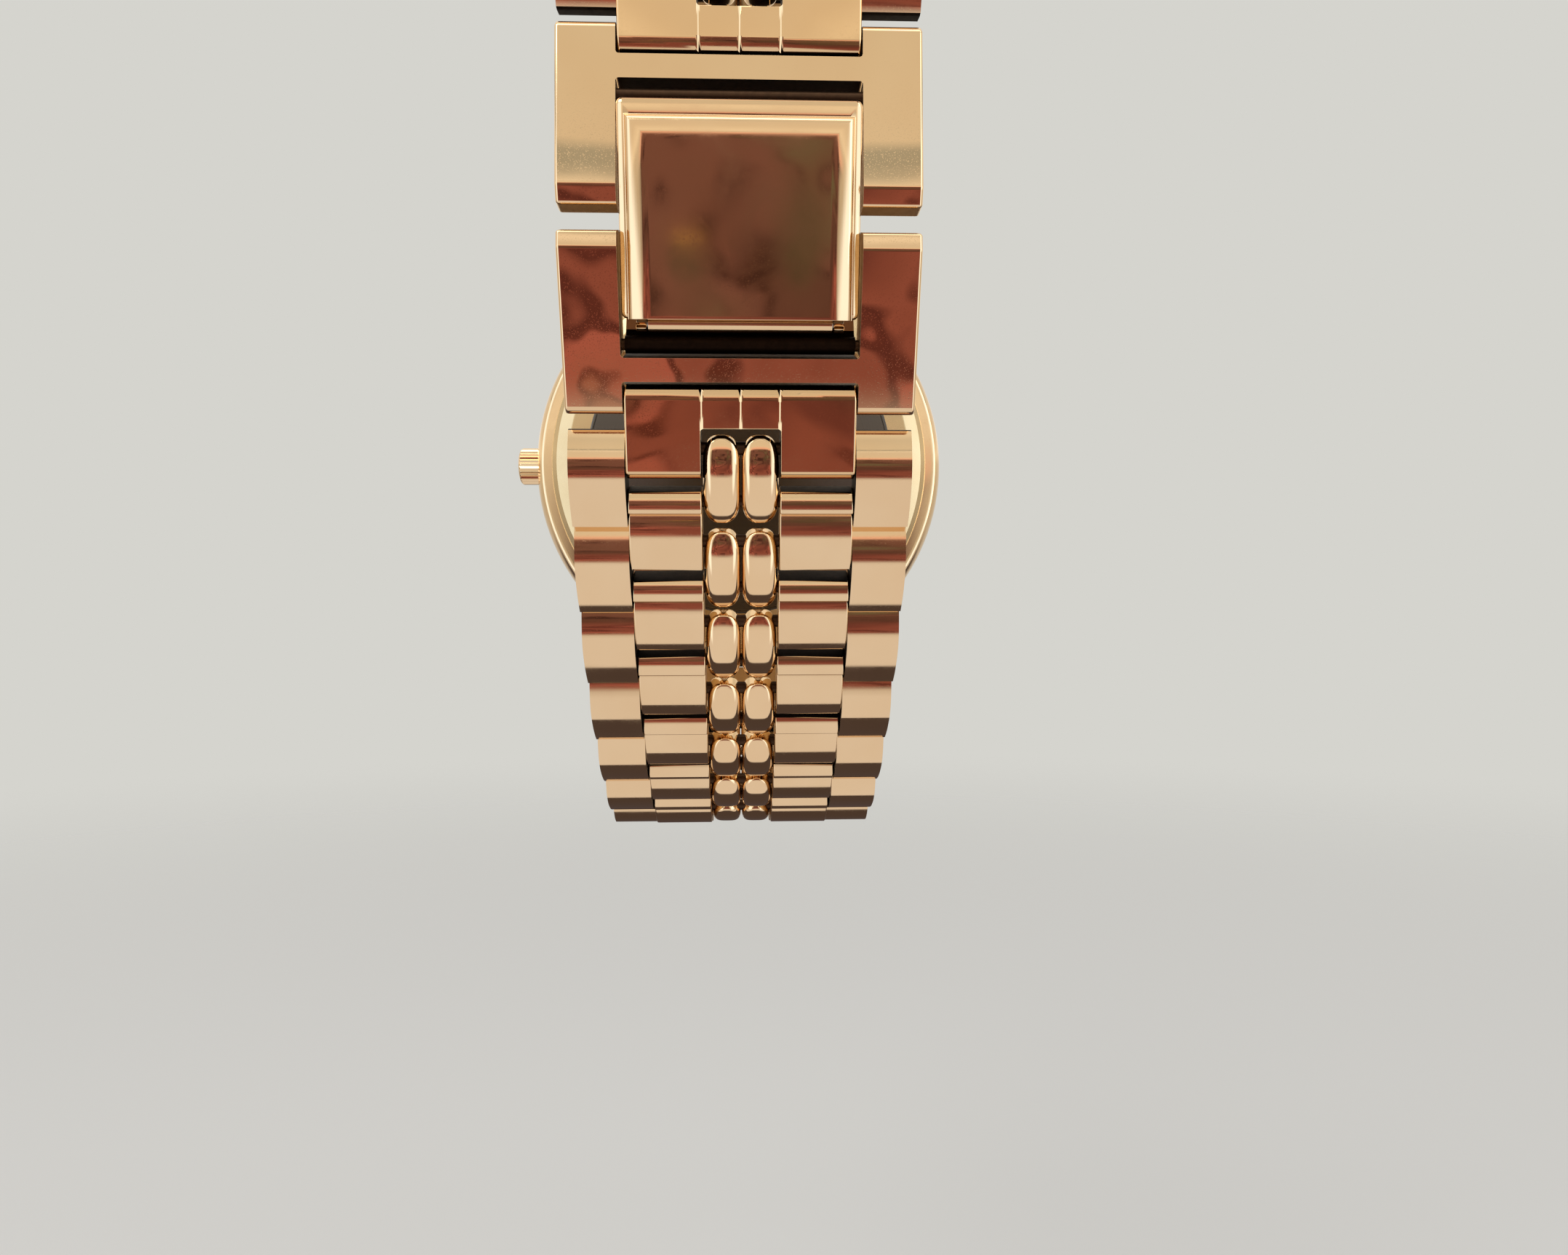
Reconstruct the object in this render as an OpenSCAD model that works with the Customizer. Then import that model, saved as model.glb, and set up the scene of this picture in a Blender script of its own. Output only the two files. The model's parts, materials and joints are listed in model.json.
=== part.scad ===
// Dress watch on a beaded link bracelet with a folding clasp, closed in its worn loop.
// X runs across the bracelet, Y from the clasp to the head, Z up to 12 o'clock.
// The origin is the centre of the opening that the wrist goes through.
// The dial faces +Y, so the crown at 3 o'clock points to -X.

/* [Loop] */
// Distance of the clasp's outer face from the origin
clasp_back = 22; // [20:0.5:24]
// Height of the gap between the two clasp frames
clasp_height = 3; // [1:0.5:5]
// Distance of the middle of the case from the origin
head_forward = 22.5; // [20.5:0.5:24.5]
// How far the middle of the case hangs below the origin
head_drop = 3.4; // [2:0.2:5]
// Lean of the 12 o'clock clasp frame from the vertical
upper_lean = 2; // [-3:1:5]
// Lean of the 6 o'clock clasp frame from the vertical
lower_lean = 20; // [16:1:24]
// Bend of the hidden lower links near the head against the links near the clasp
lower_crook = 2.5; // [1.5:0.1:3]

/* [Bracelet] */
// Distance from one hinge pin to the next
link_pitch = 5.2; // [4.8:0.1:5.6]
// Links between the clasp and the head on the 12 o'clock side
links_12 = 12; // [11:1:13]
// Links between the clasp and the head on the 6 o'clock side
links_6 = 10; // [10:1:12]
// Width of an outer link
outer_w = 2.95; // [2.4:0.05:3.5]
// Width of an inner link
inner_w = 3.9; // [3.2:0.05:4.4]
// Width of one rice-grain bead
bead_w = 1.98; // [1.7:0.02:2.2]
// Gap between two neighbouring columns of links
column_gap = 0.07; // [0.05:0.01:0.12]
// Height of the links' outer face above the pins
link_top = 1.15; // [1:0.05:1.4]
// Depth of the links' wrist side below the pins
link_base = 1.05; // [0.8:0.05:1.2]
// Gap between one outer link and the next
outer_seam = 0.1; // [0.08:0.01:0.2]
// Gap between one inner link and the next
inner_seam = 0.7; // [0.6:0.05:1]
// How far an inner link's middle lies past its outer links' middle
inner_lead = 2.85; // [2.75:0.05:2.9]
// Radius of the links' convex faces, seen from the side
crown_r = 3.7; // [3.4:0.1:5]
// Radius of the flatter half of an outer link's face, towards the head
flat_r = 7; // [6:0.5:9]
// Gap between one bead and the next along the bracelet
bead_seam = 0.4; // [0.3:0.05:0.7]
// Radius of the link pins
link_pin_r = 0.35; // [0.3:0.01:0.4]
// Play of a link on its hinge pin
pin_play = 0.03; // [0.02:0.01:0.05]

/* [Clasp] */
// Length of each clasp frame
frame_len = 8.95; // [8.75:0.05:9.5]
// Thickness of the clasp frames
frame_t = 1.9; // [1.8:0.1:2.1]
// Gap between the two frames
frame_gap = 1.44; // [1.2:0.02:1.6]
// Distance of a frame's crossbar from its gap end
bar_start = 6.05; // [5.95:0.05:6.2]
// Width of a frame's crossbar
bar_w = 1.2; // [1:0.1:1.3]
// Distance of the end link's pin from the frame's gap end
end_pin_s = 8.15; // [8.05:0.05:8.25]
// Depth of the pins below the frame's outer face
end_pin_depth = 0.95; // [0.85:0.05:1.05]
// Side play of the end link in its slot
slot_play = 0.06; // [0.04:0.01:0.1]
// Distance between the end link's two pins
end_link_reach = 2.65; // [2.5:0.05:3]
// Length of the cover plate
cover_len = 10.2; // [9.9:0.1:10.3]
// Lean of the cover plate from the vertical
cover_lean = 13; // [12:1:14]
// Thickness of the cover plate
cover_t = 1; // [0.8:0.05:1.1]
// How far the cover's upper edge stands proud of the upper frame
cover_proud = 1.2; // [1:0.1:1.4]
// Side play of the cover between the frames' arms
cover_play = 0.08; // [0.06:0.01:0.12]
// Thickness of the folding blades
blade_t = 0.55; // [0.4:0.05:0.6]
// Width of the folding link blade, which carries the lip
lip_w = 9.3; // [8.5:0.1:9.6]
// Radius of the blades' hinge knuckles
knuckle_r = 0.45; // [0.4:0.01:0.48]
// Radius of the blades' hinge pins
blade_pin_r = 0.25; // [0.2:0.01:0.28]
// Radius of the pins held in the clasp frames
frame_pin_r = 0.3; // [0.25:0.01:0.32]

/* [Case] */
// Diameter of the case
case_d = 35.2; // [33.6:0.4:36]
// Height of the case middle towards the wrist
case_down = 2.5; // [2.3:0.1:2.8]
// Height of the case middle towards the dial
case_up = 2.3; // [2.2:0.1:2.6]
// Wall between the case flank and the bore that holds the movement
case_wall = 3.6; // [3.5:0.05:3.7]
// Height of the bezel
bezel_h = 1.4; // [1.3:0.1:1.8]
// Thickness of the case back
back_t = 1.2; // [1:0.1:1.5]
// Thickness of the crystal
crystal_t = 1.3; // [1.2:0.1:1.6]
// Distance of the head hinge pins from the case flank
lug_reach = 3.3; // [3.2:0.1:3.6]
// Distance of the spring bars from the case flank
bar_reach = 0.75; // [0.7:0.05:0.8]
// Radius of the spring bars
spring_bar_r = 0.6; // [0.5:0.05:0.6]
// Width of each lug
lug_w = 2; // [1.6:0.1:2.4]
// Side play of the end pieces between the lugs
lug_play = 0.08; // [0.05:0.01:0.12]

/* [Crown] */
// Diameter of the crown
crown_d = 3.15; // [2.8:0.05:3.4]
// Length of the crown
crown_len = 2.1; // [1.9:0.1:2.4]
// How deep the crown sits in the case
crown_sink = 0.55; // [0.4:0.05:0.7]
// Radius of the winding stem
stem_r = 0.4; // [0.35:0.01:0.45]
// Number of grip teeth on the crown
crown_teeth = 30; // [20:2:36]

/* [Dial and hands] */
// Play of the dial in the case bore
dial_play = 0.4; // [0.3:0.05:0.5]
// Thickness of the dial
dial_t = 0.4; // [0.3:0.05:0.5]
// Width of the sloping ring round the dial
dial_ring_w = 0.8; // [0.6:0.05:1]
// Length of the hour markers
marker_len = 2.2; // [1.5:0.1:2.6]
// Gap between the minute hand's tip and the ring round the dial
minute_gap = 1.8; // [1.2:0.1:2.4]
// Gap between the hour hand's tip and the ring round the dial
hour_gap = 5.2; // [4.6:0.1:5.8]
// Gap between the seconds hand's tip and the ring round the dial
seconds_gap = 1.2; // [0.8:0.1:1.6]
// Play between the turning pipes of the hands
pipe_play = 0.05; // [0.03:0.01:0.06]

/* [Movement] */
// Width of the holder between the movement and the case bore
holder_w = 2.2; // [2.1:0.05:2.3]
// Thickness of the main plate
plate_t = 1.6; // [1.5:0.1:1.7]
// Distance of the battery from the movement's rim
battery_rim = 0.65; // [0.6:0.05:0.8]
// Thickness of the battery
battery_t = 1.35; // [1.2:0.05:1.4]
// Radius of the rotor
rotor_r = 0.8; // [0.6:0.05:1]
// Radius of the step motor's coil
coil_r = 0.7; // [0.6:0.05:0.75]
// Thickness of the step motor's stator
stator_t = 0.62; // [0.5:0.02:0.64]
// Thickness of the circuit board
board_t = 0.3; // [0.2:0.05:0.35]
// Thickness of the battery clamp
clamp_t = 0.15; // [0.1:0.05:0.2]

/* [Hidden] */
$fn = 64;

gold = [0.82, 0.62, 0.40];
polished_gold = [0.86, 0.67, 0.44];
steel = [0.75, 0.76, 0.78];
brass = [0.80, 0.68, 0.38];

// Column edges across the bracelet, from the middle outwards
bead_x = column_gap / 2;
inner_x = bead_x + bead_w + column_gap;
outer_x = inner_x + inner_w + column_gap;
band_w = 2 * (outer_x + outer_w);
end_link_w = 2 * (inner_x + inner_w);
slot_w = end_link_w + 2 * slot_play;
cover_w = slot_w - 2 * cover_play;

// Places along one link, measured from its hinge pin towards the head
outer_mid = link_pitch * 0.31;
outer_len = link_pitch - outer_seam;
bead_len = link_pitch - bead_seam;
inner_mid = outer_mid + inner_lead;
inner_len = link_pitch - inner_seam;
inner_end = inner_mid + inner_len / 2 - link_pitch;
second_pin = link_pitch * 0.56;
end_link_head = 0.65;

// The head's own places
case_r = case_d / 2;
head_z = -head_drop;
lug_set = 0.6;
crystal_seat = case_up + 0.2;
bore_r = case_r - case_wall;
ledge_r = bore_r - 0.8;
dial_r = bore_r - dial_play;
dial_open_r = ledge_r - dial_ring_w;
movement_r = bore_r - holder_w;
hour_len = dial_open_r - hour_gap;
minute_len = dial_open_r - minute_gap;
seconds_len = dial_open_r - seconds_gap;
dial_top = 1.2;
dial_back = dial_top - dial_t;
plate_top = 0.7;
plate_back = plate_top - plate_t;
train_floor = -2.2;

// Sides of the loop: 12 o'clock above, 6 o'clock below
UP = -1;
DOWN = 1;

function arm(a) = [cos(a), sin(a)];
function outward(side, a) = side == UP ? [-sin(a), cos(a)] : [sin(a), -cos(a)];
function point_on(side, o, a, u, n) = o + u * arm(a) + n * outward(side, a);
function sum_to(v, n) = n <= 0 ? 0 : v[n - 1] + sum_to(v, n - 1);
function path_to(v, n) = n <= 0 ? [0, 0] : v[n - 1] + path_to(v, n - 1);

// A limb runs from the end link's pin in the clasp frame to the pin at the head.
// Its links share out the bend by weight, so that the limb ends where the head is.
function limb_steps(s, w, side) = [for (i = [0:len(w)])
    (i == 0 ? end_link_reach : link_pitch) * arm(side * s * sum_to(w, i))];
function limb_span(s, w) = norm(path_to(limb_steps(s, w, DOWN), len(w) + 1));
function solve_bend(w, d, lo, hi, n) =
    let (mid = (lo + hi) / 2)
    n == 0 ? mid
    : limb_span(mid, w) > d ? solve_bend(w, d, mid, hi, n - 1)
    : solve_bend(w, d, lo, mid, n - 1);
function bearing(v) = atan2(v[1], v[0]);

gap_point = [-clasp_back, clasp_height];
upper_root = gap_point + [0, frame_gap / 2];
lower_root = gap_point - [0, frame_gap / 2];
upper_angle = 90 - upper_lean;
lower_angle = lower_lean - 90;
upper_start = point_on(UP, upper_root, upper_angle, end_pin_s, -end_pin_depth);
lower_start = point_on(DOWN, lower_root, lower_angle, end_pin_s, -end_pin_depth);
upper_finish = [head_forward - lug_set, head_z + case_r + lug_reach];
lower_finish = [head_forward - lug_set, head_z - case_r - lug_reach];

near_links = 6;
upper_weights = [for (i = [1:links_12]) 1];
lower_weights = [for (i = [1:links_6]) i <= near_links ? 1 : lower_crook];
upper_bend = solve_bend(upper_weights, norm(upper_finish - upper_start), 0, 24, 40);
lower_bend = solve_bend(lower_weights, norm(lower_finish - lower_start), 0, 20, 40);

function limb_weights(side) = side == UP ? upper_weights : lower_weights;
function limb_bend(side) = side == UP ? upper_bend : lower_bend;
function limb_start(side) = side == UP ? upper_start : lower_start;
function limb_finish(side) = side == UP ? upper_finish : lower_finish;
function limb_base(side) =
    let (w = limb_weights(side),
         free = path_to(limb_steps(limb_bend(side), w, side), len(w) + 1))
    bearing(limb_finish(side) - limb_start(side)) - bearing(free);
upper_base = limb_base(UP);
lower_base = limb_base(DOWN);
function limb_angle(side, i) = (side == UP ? upper_base : lower_base)
    + side * limb_bend(side) * sum_to(limb_weights(side), i);
function limb_pin(side, i) = limb_start(side) + path_to(
    [for (k = [0:max(i - 1, 0)]) (k == 0 ? end_link_reach : link_pitch) * arm(limb_angle(side, k))], i);

// The steepest bend sets how much the links' wrist side is cut back at their ends
steepest = max(upper_bend, lower_bend * lower_crook);
relief = link_base * tan(steepest / 2) + 0.1;

// Places in the cover's own frame: t runs down the cover, depth runs towards the wrist
cover_corner = point_on(UP, upper_root, upper_angle, 4.48, cover_proud);
cover_angle = cover_lean - 90;
function to_cover(p) = let (d = p - cover_corner)
    [d * arm(cover_angle), -(d * outward(DOWN, cover_angle))];
function from_cover(t, depth) = point_on(DOWN, cover_corner, cover_angle, t, -depth);
fold_pin_t = cover_len + 0.15;
fold_pin_depth = cover_t + 0.1;
link_blade_depth = cover_t + 0.12;
base_blade_depth = link_blade_depth + blade_t + 0.12;
head_pin_t = 0.9;
head_pin_depth = base_blade_depth - 0.06;
upper_pin_s = 5.4;
upper_pin_depth = 0.45;
lower_pin_s = 5.5;
upper_pin = point_on(UP, upper_root, upper_angle, upper_pin_s, -upper_pin_depth);
lower_pin = point_on(DOWN, lower_root, lower_angle, lower_pin_s, -end_pin_depth);
ear_in = lip_w / 2 + 0.08;
ear_w = 0.55;
ear_out = ear_in + ear_w;

// Echoed for whoever writes down where the joints are
echo(upper_pins = [for (i = [0:links_12 + 1]) limb_pin(UP, i)]);
echo(upper_angles = [for (i = [0:links_12]) limb_angle(UP, i)]);
echo(lower_pins = [for (i = [0:links_6 + 1]) limb_pin(DOWN, i)]);
echo(lower_angles = [for (i = [0:links_6]) limb_angle(DOWN, i)]);
echo(frame_angles = [upper_angle, lower_angle], bends = [upper_bend, lower_bend]);
echo(fold_pin = from_cover(fold_pin_t, fold_pin_depth));
echo(head_pin = from_cover(head_pin_t, head_pin_depth), lower_pin = lower_pin);
echo(upper_pin = upper_pin, band_w = band_w, slot_w = slot_w);

// Placing and shaping helpers

module placed(side, o, a) {
    translate([0, o[0], o[1]])
        rotate([a, 0, 0])
            if (side == DOWN) mirror([0, 0, 1]) children();
            else children();
}

module on_limb(side, i) {
    placed(side, limb_pin(side, i), limb_angle(side, i)) children();
}

module in_head() {
    translate([0, head_forward, head_z]) rotate([-90, 0, 0]) children();
}

module slab(x0, x1) {
    translate([x0, 0, 0]) rotate([90, 0, 90]) linear_extrude(x1 - x0) children();
}

module both_sides() {
    children();
    mirror([1, 0, 0]) children();
}

module cross_rod(r, x0, x1, u, n) {
    translate([x0, u, n]) rotate([0, 90, 0]) cylinder(r = r, h = x1 - x0);
}

module full_rod(r, w, u, n) {
    cross_rod(r, -w / 2, w / 2, u, n);
}

// Keeps what lies under a roof with bevelled long edges between x0 and x1
module bevelled_roof(x0, x1, u0, u1, low, high, bevel) {
    translate([0, u1, 0]) rotate([90, 0, 0]) linear_extrude(u1 - u0)
        polygon([[x0, low], [x1, low], [x1, high - bevel], [x1 - bevel, high],
                 [x0 + bevel, high], [x0, high - bevel]]);
}

function bow(cx, cy, rx, ry, a0, a1, n) =
    [for (i = [0:n]) let (a = a0 + (a1 - a0) * i / n) [cx + rx * cos(a), cy + ry * sin(a)]];

// Links of the bracelet

edge_bevel = 0.16;

// A convex face of radius r whose highest point lies at u = peak, from u0 to u1
function convex(peak, top, r, u0, u1, n) = [for (i = [0:n])
    let (u = u0 + (u1 - u0) * i / n) [u, top - r + sqrt(r * r - pow(u - peak, 2))]];

module outer_link(x0) {
    u0 = outer_mid - outer_len / 2;
    u1 = outer_mid + outer_len / 2;
    difference() {
        intersection() {
            slab(x0, x0 + outer_w) polygon(concat(
                [[u0 + relief, -link_base], [u0, -0.1]],
                convex(outer_mid, link_top, crown_r, u0, outer_mid, 7),
                convex(outer_mid, link_top, flat_r, outer_mid + 0.5, u1, 4),
                [[u1, -0.1], [u1 - relief, -link_base]]));
            bevelled_roof(x0, x0 + outer_w, u0 - 1, u1 + 1, -link_base - 1, link_top, edge_bevel);
        }
        for (u = [0, second_pin]) cross_rod(link_pin_r + 0.01, x0 - 1, x0 + outer_w + 1, u, 0);
    }
}

module inner_link(x0) {
    u0 = inner_mid - inner_len / 2;
    u1 = inner_mid + inner_len / 2;
    groove = u0 + inner_len * 0.26;
    head_r = 1.35;
    difference() {
        intersection() {
            slab(x0, x0 + inner_w) polygon(concat(
                [[u0 + 0.2, -link_base], [u0, -0.3]],
                convex(groove - 0.15, link_top - 0.1, head_r, u0, groove - 0.08, 7),
                [[groove, link_top - 0.45]],
                convex(link_pitch - 0.1, link_top, crown_r, groove + 0.1, u1 - 0.1, 9),
                [[u1, link_top - 0.6], [u1, -0.3], [u1 - relief / 2, -link_base]]));
            bevelled_roof(x0, x0 + inner_w, u0 - 1, u1 + 1, -link_base - 1, link_top, edge_bevel);
        }
        cross_rod(link_pin_r + 0.01, x0 - 1, x0 + inner_w + 1, second_pin, 0);
        cross_rod(link_pin_r + pin_play, x0 - 1, x0 + inner_w + 1, link_pitch, 0);
    }
}

bead_rise = link_top - bead_w / 2;

module bead(x0) {
    n = 12;
    difference() {
        translate([x0 + bead_w / 2, outer_mid + 0.05, bead_rise]) rotate([-90, 0, 0])
            rotate_extrude() polygon(concat([[0, -bead_len / 2]],
                [for (i = [1:2 * n - 1]) let (v = (i - n) / n)
                    [bead_w / 2 * pow(1 - pow(abs(v), 3), 1 / 2.2), v * bead_len / 2]],
                [[0, bead_len / 2]]));
        for (u = [0, second_pin]) cross_rod(link_pin_r + 0.01, x0 - 1, x0 + bead_w + 1, u, 0);
    }
}

module link_unit(side, i) {
    on_limb(side, i) {
        color(polished_gold) both_sides() outer_link(outer_x);
        color(polished_gold) both_sides() inner_link(inner_x);
        color(gold) both_sides() bead(bead_x);
        color(steel) for (u = [0, second_pin]) full_rod(link_pin_r, band_w - 0.2, u, 0);
    }
}

// The end link that joins a limb to its clasp frame

end_top = 1;
recess_start = end_link_reach + outer_mid + 0.05 - bead_len / 2 - 0.4;

module end_link(side) {
    tail = end_link_reach + inner_end;
    half = end_link_w / 2;
    on_limb(side, 0) color(polished_gold) difference() {
        intersection() {
            slab(-half, half) polygon(concat(
                [[-0.1, -link_base + 0.2]],
                bow(0, -0.2, end_link_head, end_link_head, 230, 180, 3),
                [[-end_link_head, 0.35], [0.05, end_top], [tail - 0.35, end_top + 0.1],
                 [tail, end_top - 0.3], [tail, -0.3], [tail - relief / 2, -link_base]]));
            bevelled_roof(-half, half, -2, tail + 1, -link_base - 1, end_top + 0.1, edge_bevel);
        }
        translate([-inner_x, recess_start, -3]) cube([2 * inner_x, tail, 6]);
        for (x = [-inner_x + 0.06, 0, inner_x - 0.06])
            translate([x - 0.05, -1, end_top - 0.1]) cube([0.1, recess_start + 1, 1]);
        for (x = [-inner_x + 0.06, 0, inner_x - 0.06])
            translate([x, -end_link_head, 0.35]) rotate([0, 45, 0]) cube([0.22, 1.1, 0.22], center = true);
        full_rod(link_pin_r + pin_play, band_w, 0, 0);
        full_rod(link_pin_r + pin_play, band_w, end_link_reach, 0);
    }
}

// Clasp

frame_bevel = 0.28;

// The nose at the gap: a long chamfer above, a short round below
upper_nose = [[0, -0.6], [0.04, -0.48], [0.14, -0.36], [0.88, -0.06], [1, -0.02], [1.15, 0]];
lower_nose = concat([[0, -0.52]], bow(0.65, -0.4, 0.65, 0.4, 175, 90, 6));

module clasp_frame(side, root, angle, nose, pins) {
    half = band_w / 2;
    placed(side, root, angle) color(polished_gold) difference() {
        intersection() {
            slab(-half, half) polygon(concat(
                [[0.25, -frame_t], [0, -frame_t + 0.25]], nose,
                [[frame_len - 0.28, 0], [frame_len, -0.28], [frame_len, -frame_t + 0.3],
                 [frame_len - 0.3, -frame_t]]));
            bevelled_roof(-half, half, -1, frame_len + 1, -frame_t - 1, 0, frame_bevel);
        }
        rounded_slot(-1, bar_start);
        rounded_slot(bar_start + bar_w, frame_len + 1);
        for (p = pins) full_rod(p[2] + 0.01, slot_w + 2 * pin_bite, p[0], -p[1]);
    }
}

// A slot through the frame with its two corners at the crossbar rounded
module rounded_slot(s0, s1) {
    r = 0.17;
    translate([0, 0, -frame_t - 1]) linear_extrude(frame_t + 2)
        translate([-slot_w / 2 + r, s0 + r]) offset_box(slot_w - 2 * r, s1 - s0 - 2 * r, r);
}

// A box with round corners, drawn with true arcs
module offset_box(w, h, r) {
    translate([0, -r]) square([w, h + 2 * r]);
    translate([-r, 0]) square([w + 2 * r, h]);
    for (x = [0, w], y = [0, h]) translate([x, y]) circle(r = r, $fn = 24);
}

pin_bite = 1.6;
upper_frame_pins = [[end_pin_s, end_pin_depth, link_pin_r], [upper_pin_s, upper_pin_depth, frame_pin_r]];
lower_frame_pins = [[end_pin_s, end_pin_depth, link_pin_r], [lower_pin_s, end_pin_depth, frame_pin_r]];

module clasp_frame_12() {
    clasp_frame(UP, upper_root, upper_angle, upper_nose, upper_frame_pins);
}

module clasp_frame_6() {
    clasp_frame(DOWN, lower_root, lower_angle, lower_nose, lower_frame_pins);
}

module frame_pins(side, root, angle, pins) {
    placed(side, root, angle) color(steel)
        for (p = pins) full_rod(p[2], slot_w + 2 * pin_bite - 0.1, p[0], -p[1]);
}

module clasp_cover() {
    rim = 0.35;
    head_rim = 0.75;
    rise = 0.3;
    shoulder = 0.55;
    placed(DOWN, cover_corner, cover_angle) {
        color(polished_gold) difference() {
            union() {
                translate([-cover_w / 2 + 0.4, 0.4, -cover_t]) linear_extrude(cover_t - rise)
                    offset_box(cover_w - 0.8, cover_len - 0.8, 0.4);
                intersection() {
                    slab(-cover_w / 2, cover_w / 2) polygon([
                        [head_rim, -rise - 0.1], [head_rim + 0.05, -rise], [head_rim + shoulder, -0.05],
                        [cover_len * 0.4, 0], [cover_len * 0.6, 0], [cover_len - rim - shoulder, -0.05],
                        [cover_len - rim, -rise], [cover_len - rim, -rise - 0.1]]);
                    translate([0, cover_len, 0]) rotate([90, 0, 0]) linear_extrude(cover_len) polygon([
                        [-cover_w / 2 + rim, -rise - 0.1], [-cover_w / 2 + rim, -rise],
                        [-cover_w / 2 + rim + shoulder, -0.05], [-cover_w * 0.15, 0], [cover_w * 0.15, 0],
                        [cover_w / 2 - rim - shoulder, -0.05], [cover_w / 2 - rim, -rise],
                        [cover_w / 2 - rim, -rise - 0.1]]);
                }
                both_sides() slab(ear_in, ear_out) ear(fold_pin_t, -fold_pin_depth, cover_len - 0.9);
                both_sides() slab(cover_w / 2 - 0.57, cover_w / 2) polygon([
                    [1.2, -cover_t + 0.1], [0.05, -cover_t + 0.1], [lug_face, -cover_t - 0.35],
                    [lug_face, -cover_t - 1.1], [lug_face + 0.45, -cover_t - 1.1]]);
            }
            full_rod(blade_pin_r + 0.01, cover_w, fold_pin_t, -fold_pin_depth);
            full_rod(knuckle_r + 0.05, 2 * ear_in, fold_pin_t, -fold_pin_depth);
        }
    }
}

// The cover's upper lugs stop this far down, just short of the upper frame's pin
lug_face = to_cover(upper_pin)[0] + frame_pin_r + 0.17;

// A hinge ear: a round knuckle carried by a web from the plate above it
module ear(t, n, web_start) {
    translate([t, n]) circle(r = knuckle_r);
    polygon([[web_start, -cover_t + 0.1], [t - 0.15, -cover_t + 0.1], [t + knuckle_r * 0.8, n + 0.1],
             [t, n - knuckle_r * 0.9], [web_start, -cover_t - 0.05]]);
}

module cover_pin() {
    placed(DOWN, cover_corner, cover_angle) color(steel)
        full_rod(blade_pin_r, 2 * ear_out - 0.1, fold_pin_t, -fold_pin_depth);
}

module blade_pin() {
    placed(DOWN, cover_corner, cover_angle) color(steel)
        full_rod(blade_pin_r, 2 * ear_out - 0.1, head_pin_t, -head_pin_depth);
}

// The middle leaf of the fold, from the cover's lower end back up under the cover
module clasp_link_blade() {
    placed(DOWN, cover_corner, cover_angle) color(gold) difference() {
        slab(-lip_w / 2, lip_w / 2) {
            translate([fold_pin_t, -fold_pin_depth]) circle(r = knuckle_r);
            translate([head_pin_t, -head_pin_depth]) circle(r = knuckle_r);
            polygon([[head_pin_t, -link_blade_depth - 0.12], [fold_pin_t - 0.45, -link_blade_depth],
                     [fold_pin_t, -link_blade_depth - 0.2],
                     [fold_pin_t, -link_blade_depth - blade_t + 0.15],
                     [fold_pin_t - 0.6, -link_blade_depth - blade_t],
                     [head_pin_t, -link_blade_depth - blade_t]]);
        }
        for (p = [[fold_pin_t, fold_pin_depth], [head_pin_t, head_pin_depth]])
            full_rod(blade_pin_r + pin_play, cover_w, p[0], -p[1]);
    }
}

// The inner leaf of the fold, from the top of the fold down to the lower frame's pin
module clasp_base_blade() {
    foot = to_cover(lower_pin);
    placed(DOWN, cover_corner, cover_angle) color(gold) difference() {
        slab(-ear_out, ear_out) {
            translate([foot[0], -foot[1]]) circle(r = knuckle_r);
            translate([head_pin_t, -head_pin_depth]) circle(r = knuckle_r);
            polygon([[head_pin_t, -base_blade_depth], [foot[0] - 0.75, -base_blade_depth],
                     [foot[0], -foot[1] + 0.1], [foot[0], -foot[1] - knuckle_r],
                     [foot[0] - 0.5, -base_blade_depth - blade_t],
                     [head_pin_t, -base_blade_depth - blade_t]]);
        }
        translate([-ear_in, head_pin_t - 2, -base_blade_depth - 2])
            cube([2 * ear_in, 2 + knuckle_r + 0.12, 4]);
        full_rod(blade_pin_r + 0.01, cover_w, head_pin_t, -head_pin_depth);
        full_rod(frame_pin_r + pin_play, cover_w, foot[0], -foot[1]);
    }
}

// Watch head, drawn with its dial facing up and 12 o'clock towards -Y

module ring(r_out, r_in, z0, z1) {
    difference() {
        translate([0, 0, z0]) cylinder(r = r_out, h = z1 - z0, $fn = 128);
        translate([0, 0, z0 - 1]) cylinder(r = r_in, h = z1 - z0 + 2, $fn = 128);
    }
}

module disc(r, z0, z1) {
    translate([0, 0, z0]) cylinder(r = r, h = z1 - z0, $fn = 128);
}

module at_three(x) {
    translate([x, 0, 0]) rotate([0, 90, 0]) children();
}

lug_in = band_w / 2 + lug_play;
back_r = case_r - 1.6;
gasket_groove = 0.4;
tube_r = 1.05;
crown_base = -case_r + crown_sink;

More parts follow.
